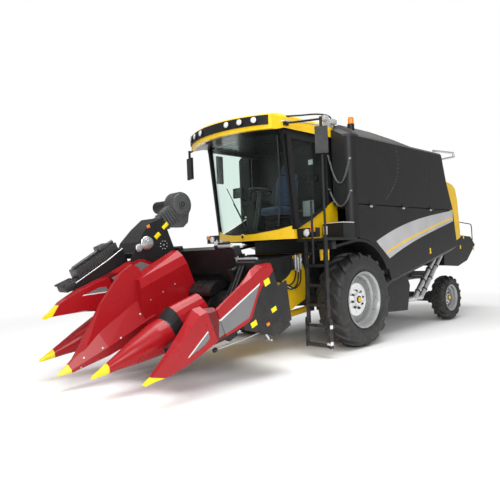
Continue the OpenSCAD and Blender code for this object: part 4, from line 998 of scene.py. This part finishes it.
dress(cover_paint("left_cover_red", False, 1450.0), "left_wing_divider")
dress(cover_paint("right_cover_red", True, -500.0), "right_wing_divider")
cone_areas = [
    (IRON_BLACK, [beyond((0.0, 1.0, 0.0), -1255.0), beyond((0.0, -1.0, 0.0), 1080.0)]),
    (LEMON, [beyond((0.0, -1.0, 0.25), 2150.0)]),
]
dress(enamel("cone_red", RED, 0.28, areas=cone_areas, **COVER_FINISH), "inner_snouts")
centre_tip = (LEMON, [beyond((0.0, -1.0, 0.0), 2250.0)])
dress(enamel("centre_red", RED, 0.28, areas=[centre_tip], **COVER_FINISH), "centre_divider")
header_black = enamel("header_enamel", IRON_BLACK, 0.42, spec=0.35)
dress(header_black, "header_frame", "header_auger", "centre_rows", "left_wing_frame", "right_wing_frame")
gear_cast = enamel("gear_casting", (0.13, 0.13, 0.135), 0.36, metal=0.6, peel=0.05)
dress(gear_cast, "right_wing_gearbox")

# Header fittings on the middle: bright bolts on the divider, a valve block with its
# unions and a folding cylinder on the beam.
bolt_spots = (
    ((74, -4167, 374), (0.88, -0.33, 0.33)),
    ((127, -3933, 467), (0.88, -0.33, 0.33)),
    ((163, -3694, 563), (0.91, -0.24, 0.33)),
    ((53, -4200, 259), (0.86, 0.06, -0.50)),
    ((148, -3381, 839), (0.91, -0.24, 0.33)),
    ((188, -3234, 1016), (1, 0, 0)),
    ((188, -3035, 1108), (1, 0, 0)),
    ((188, -2828, 1205), (1, 0, 0)),
)
BOLT = [(-4, 13), (3, 13), (4, 9), (10, 8), (12, 5)]
bolts = gather(*(lathe(spot, way, BOLT, 12) for spot, way in bolt_spots))
place("divider_bolts", both(bolts), zinc, "feeder")
valve = gather(
    block((510, 136, 686), (800, 198, 762), 10.0),
    block((560, 78, 686), (630, 150, 745), 8.0),
    block((-820, 100, 682), (-300, 180, 745), 10.0),
)
place("valve_block", tilted(valve), header_black, "feeder")
unions = [
    lathe((x, y, 740), (0, 0, 1), [(0, 18), (28, 18), (30, 13), (56, 13), (58, 7)], 12)
    for x, y in ((578, 108), (612, 108), (560, 168), (650, 168))
]
cylinder = tube([(650, 102, 720), (660, 102, 720), (900, 102, 720), (912, 102, 720)], 26.0, 24)
piston = tube([(905, 102, 720), (940, 102, 712)], 14.0, 16)
place("fold_cylinder", tilted(gather(cylinder, piston, *unions)), tube_steel, "feeder")


# Auger covers: a half-round black hood over each half of the cross auger, bolted to the
# back wall, with a raised rim at both ends and in the middle.
def half_round(r, x0, x1):
    """Half round over the auger, from x0 to x1: (y, z) = (-185 + 1.45 r cos a, 178 + r sin a) above a flat
    foot."""
    a = np.linspace(np.pi, 0.0, 33)
    return strip(-185.0 + 1.45 * r * np.cos(a), np.full(33, 176.0), 178.0 + r * np.sin(a), x0, x1)


rims = (half_round(134.0, x, x + 16.0) for x in (240.0, 462.0, 688.0))
hood = gather(half_round(128.0, 245.0, 700.0), *rims)
hood_black = enamel("hood_enamel", (0.010, 0.010, 0.011), 0.24, spec=0.5, peel=0.01, dust=0.05)
place("auger_hoods", tilted(both(hood)), hood_black, "feeder")

# Left wing fittings: yellow blank plates and an amber marker on the end sheet, parking stand
# below, folding strut behind the back wall, guard rods before the auger.
WING_END = 1598.0
PLATE_SPOTS = ((-112, 285, 52, 40), (-145, -90, 48, 30), (-539, -83, 52, 34))
label_yellow = enamel("label_yellow", (0.92, 0.74, 0.004), 0.35, spec=0.4, dust=0.1)
plates = gather(
    *(block((WING_END, y - a, z - b), (WING_END + 5, y + a, z + b), 2.0) for y, z, a, b in PLATE_SPOTS)
)
place("left_wing_plates", tilted(plates), label_yellow, "left_wing")
marker = block((WING_END - 2, -350, -226), (WING_END + 14, -296, -186), 6.0)
place("left_wing_marker", tilted(marker), amber_lens, "left_wing")
guard_rods = gather(
    *(tube([(x, -44, 486), (x - 45, -300, 230), (x - 90, -585, -42)], 20.0) for x in (1130, 1190))
)
place("left_wing_guard_rods", tilted(guard_rods), header_black, "left_wing")
stand = gather(
    tube([(1560, -395, -235), (1560, -350, -420)], 15.0),
    tube([(1560, -404, -262), (1560, -760, -180), (1560, -1187, -67)], 8.0),
    tube([(1500, -352, -418), (1606, -352, -418)], 12.0),
    tube([(1500, 96, -330), (1500, 96, -120)], 26.0, 20),
    tube([(1500, 96, -130), (1500, 96, 120)], 17.0, 20),
    tube([(1020, 46, 546), (1385, 46, 546)], 18.0, 18),
)
place("left_wing_rods", tilted(stand), tube_steel, "left_wing")
lugs = gather(
    block((1476, 56, -350), (1524, 128, -310), 5.0),
    block((1482, 56, 100), (1518, 122, 135), 5.0),
    block((1540, -430, -300), (1598, -380, -230), 6.0),
    block((1540, -1215, -90), (1580, -1160, -45), 6.0),
)
gusset = ribbon([(55, -380), (55, 140)], [(110, -380), (240, 140)], 1562.0, 1590.0)
place("left_wing_lugs", tilted(gather(lugs, gusset)), header_black, "left_wing")


# Right wing fittings, on the wing as it lies folded with its underside up: bright rails and
# ribbed gear cases along the row, drive cap, ring of bolts, blank plates and a marker.
FOLD_X = -1950.0


def folded(shape):
    """A shape in the wing's own mm, turned over onto the middle of the header."""
    points, faces = shape
    over = points * (1.0, 1.0, -1.0) + (FOLD_X, 0.0, FOLD_H)
    return tilted((over, [face[::-1] for face in faces]))


DRIVE_CAP = [(0, 102), (14, 102), (20, 92), (44, 90), (50, 72), (66, 70), (70, 44), (80, 40), (82, 5)]
SHAFT_CAP = [(0, 58), (18, 58), (24, 44), (36, 40), (38, 5)]
bright = [tube([(x, -1480, -60), (x, -900, -150), (x, -620, -212)], 10.0) for x in (1318, 1002)]
bright.append(lathe((WING_END - 2, -367, -182), (1, 0, 0), DRIVE_CAP, 40))
bright.append(lathe((WING_END - 2, -520, -170), (1, 0, 0), SHAFT_CAP, 30))
for a in np.linspace(0.0, 2.0 * np.pi, 8, endpoint=False):
    spot = (WING_END + 1, -103 + 62 * math.cos(a), -38 + 62 * math.sin(a))
    bright.append(lathe(spot, (1, 0, 0), [(0, 10), (5, 10), (8, 5)], 10))
bright.append(lathe((WING_END + 1, -103, -38), (1, 0, 0), [(0, 16), (6, 16), (9, 8)], 12))
place("right_wing_bright", folded(gather(*bright)), zinc, "right_wing")
case_y = np.array([-1390.0, -1250, -1050, -800, -660])
case_low = np.array([-205.0, -232, -258, -310, -330])
cases = [strip(case_y, case_low, case_low + 165, 1048.0, 1272.0)]
for y in np.arange(-1375.0, -665.0, 34.0):
    z = np.interp(y, case_y, case_low)
    cases.append(block((1036, y - 7, z - 13), (1284, y + 7, z + 120), 4.0))
cases.append(tube([(1160, -1370, -236), (1160, -900, -312), (1160, -650, -352)], 26.0, 20))
cases.append(block((1060, -930, -372), (1250, -760, -300), 16.0))
case_grey = enamel("case_grey", (0.085, 0.086, 0.090), 0.34, metal=0.55, peel=0.03)
place("right_wing_gear_cases", folded(gather(*cases)), case_grey, "right_wing")
skids = gather(
    block((1020, -1640, -96), (1300, -1440, 20), 24.0),
    *(block((1020 + 95 * i, -1660, -110), (1090 + 95 * i, -1420, -84), 8.0) for i in range(3)),
)
place("right_wing_skids", folded(skids), rubber, "right_wing")
card_turn = pitched(0.94, 0.34)
cards = gather(
    block((WING_END + 1, -20, -325), (WING_END + 6, 104, -268), 3.0, card_turn),
    block((WING_END + 1, -205, -245), (WING_END + 6, -95, -180), 3.0, card_turn),
)
place("right_wing_plates", folded(cards), label_yellow, "right_wing")
marker = block((WING_END - 2, -270, -420), (WING_END + 14, -215, -372), 6.0)
place("right_wing_marker", folded(marker), amber_lens, "right_wing")
GEAR_Y, GEAR_Z = 585.0, -466.0
RIB = [(0, 190), (3, 201), (11, 201), (14, 190)]
SLEEVE = [(0, 88), (8, 104), (40, 104), (48, 101), (300, 101), (500, 104), (504, 100)]
ribs = [lathe((1246 + 25 * i, GEAR_Y, GEAR_Z), (1, 0, 0), RIB, 56) for i in range(8)]
for a in np.linspace(0.3, 0.3 + 2.0 * np.pi, 8, endpoint=False):
    spot = (1451, GEAR_Y + 128 * math.cos(a), GEAR_Z + 128 * math.sin(a))
    ribs.append(lathe(spot, (1, 0, 0), [(0, 15), (12, 15), (16, 9)], 8))
for y, z in ((130, -290), (185, -318), (240, -340), (295, -348), (350, -350), (405, -352)):
    ribs.append(block((1264, y - 9, z - 135), (1436, y + 9, z + 135), 6.0, pitched(0.97, 0.24)))
ribs.append(lathe((1448, GEAR_Y, GEAR_Z), (1, 0, 0), [(0, 176), (8, 170), (12, 150), (12, 100)], 56))
place("gearbox_ribs", folded(gather(*ribs)), gear_cast, "right_wing")
guard = gather(
    lathe((1478, GEAR_Y, GEAR_Z), (1, 0, 0), [(-2, 40), (2, 40), (4, 22), (-1, 20)], 28),
    lathe((752, GEAR_Y, GEAR_Z), (1, 0, 0), SLEEVE, 36),
)
place("gearbox_guard", folded(guard), black_plastic, "right_wing")
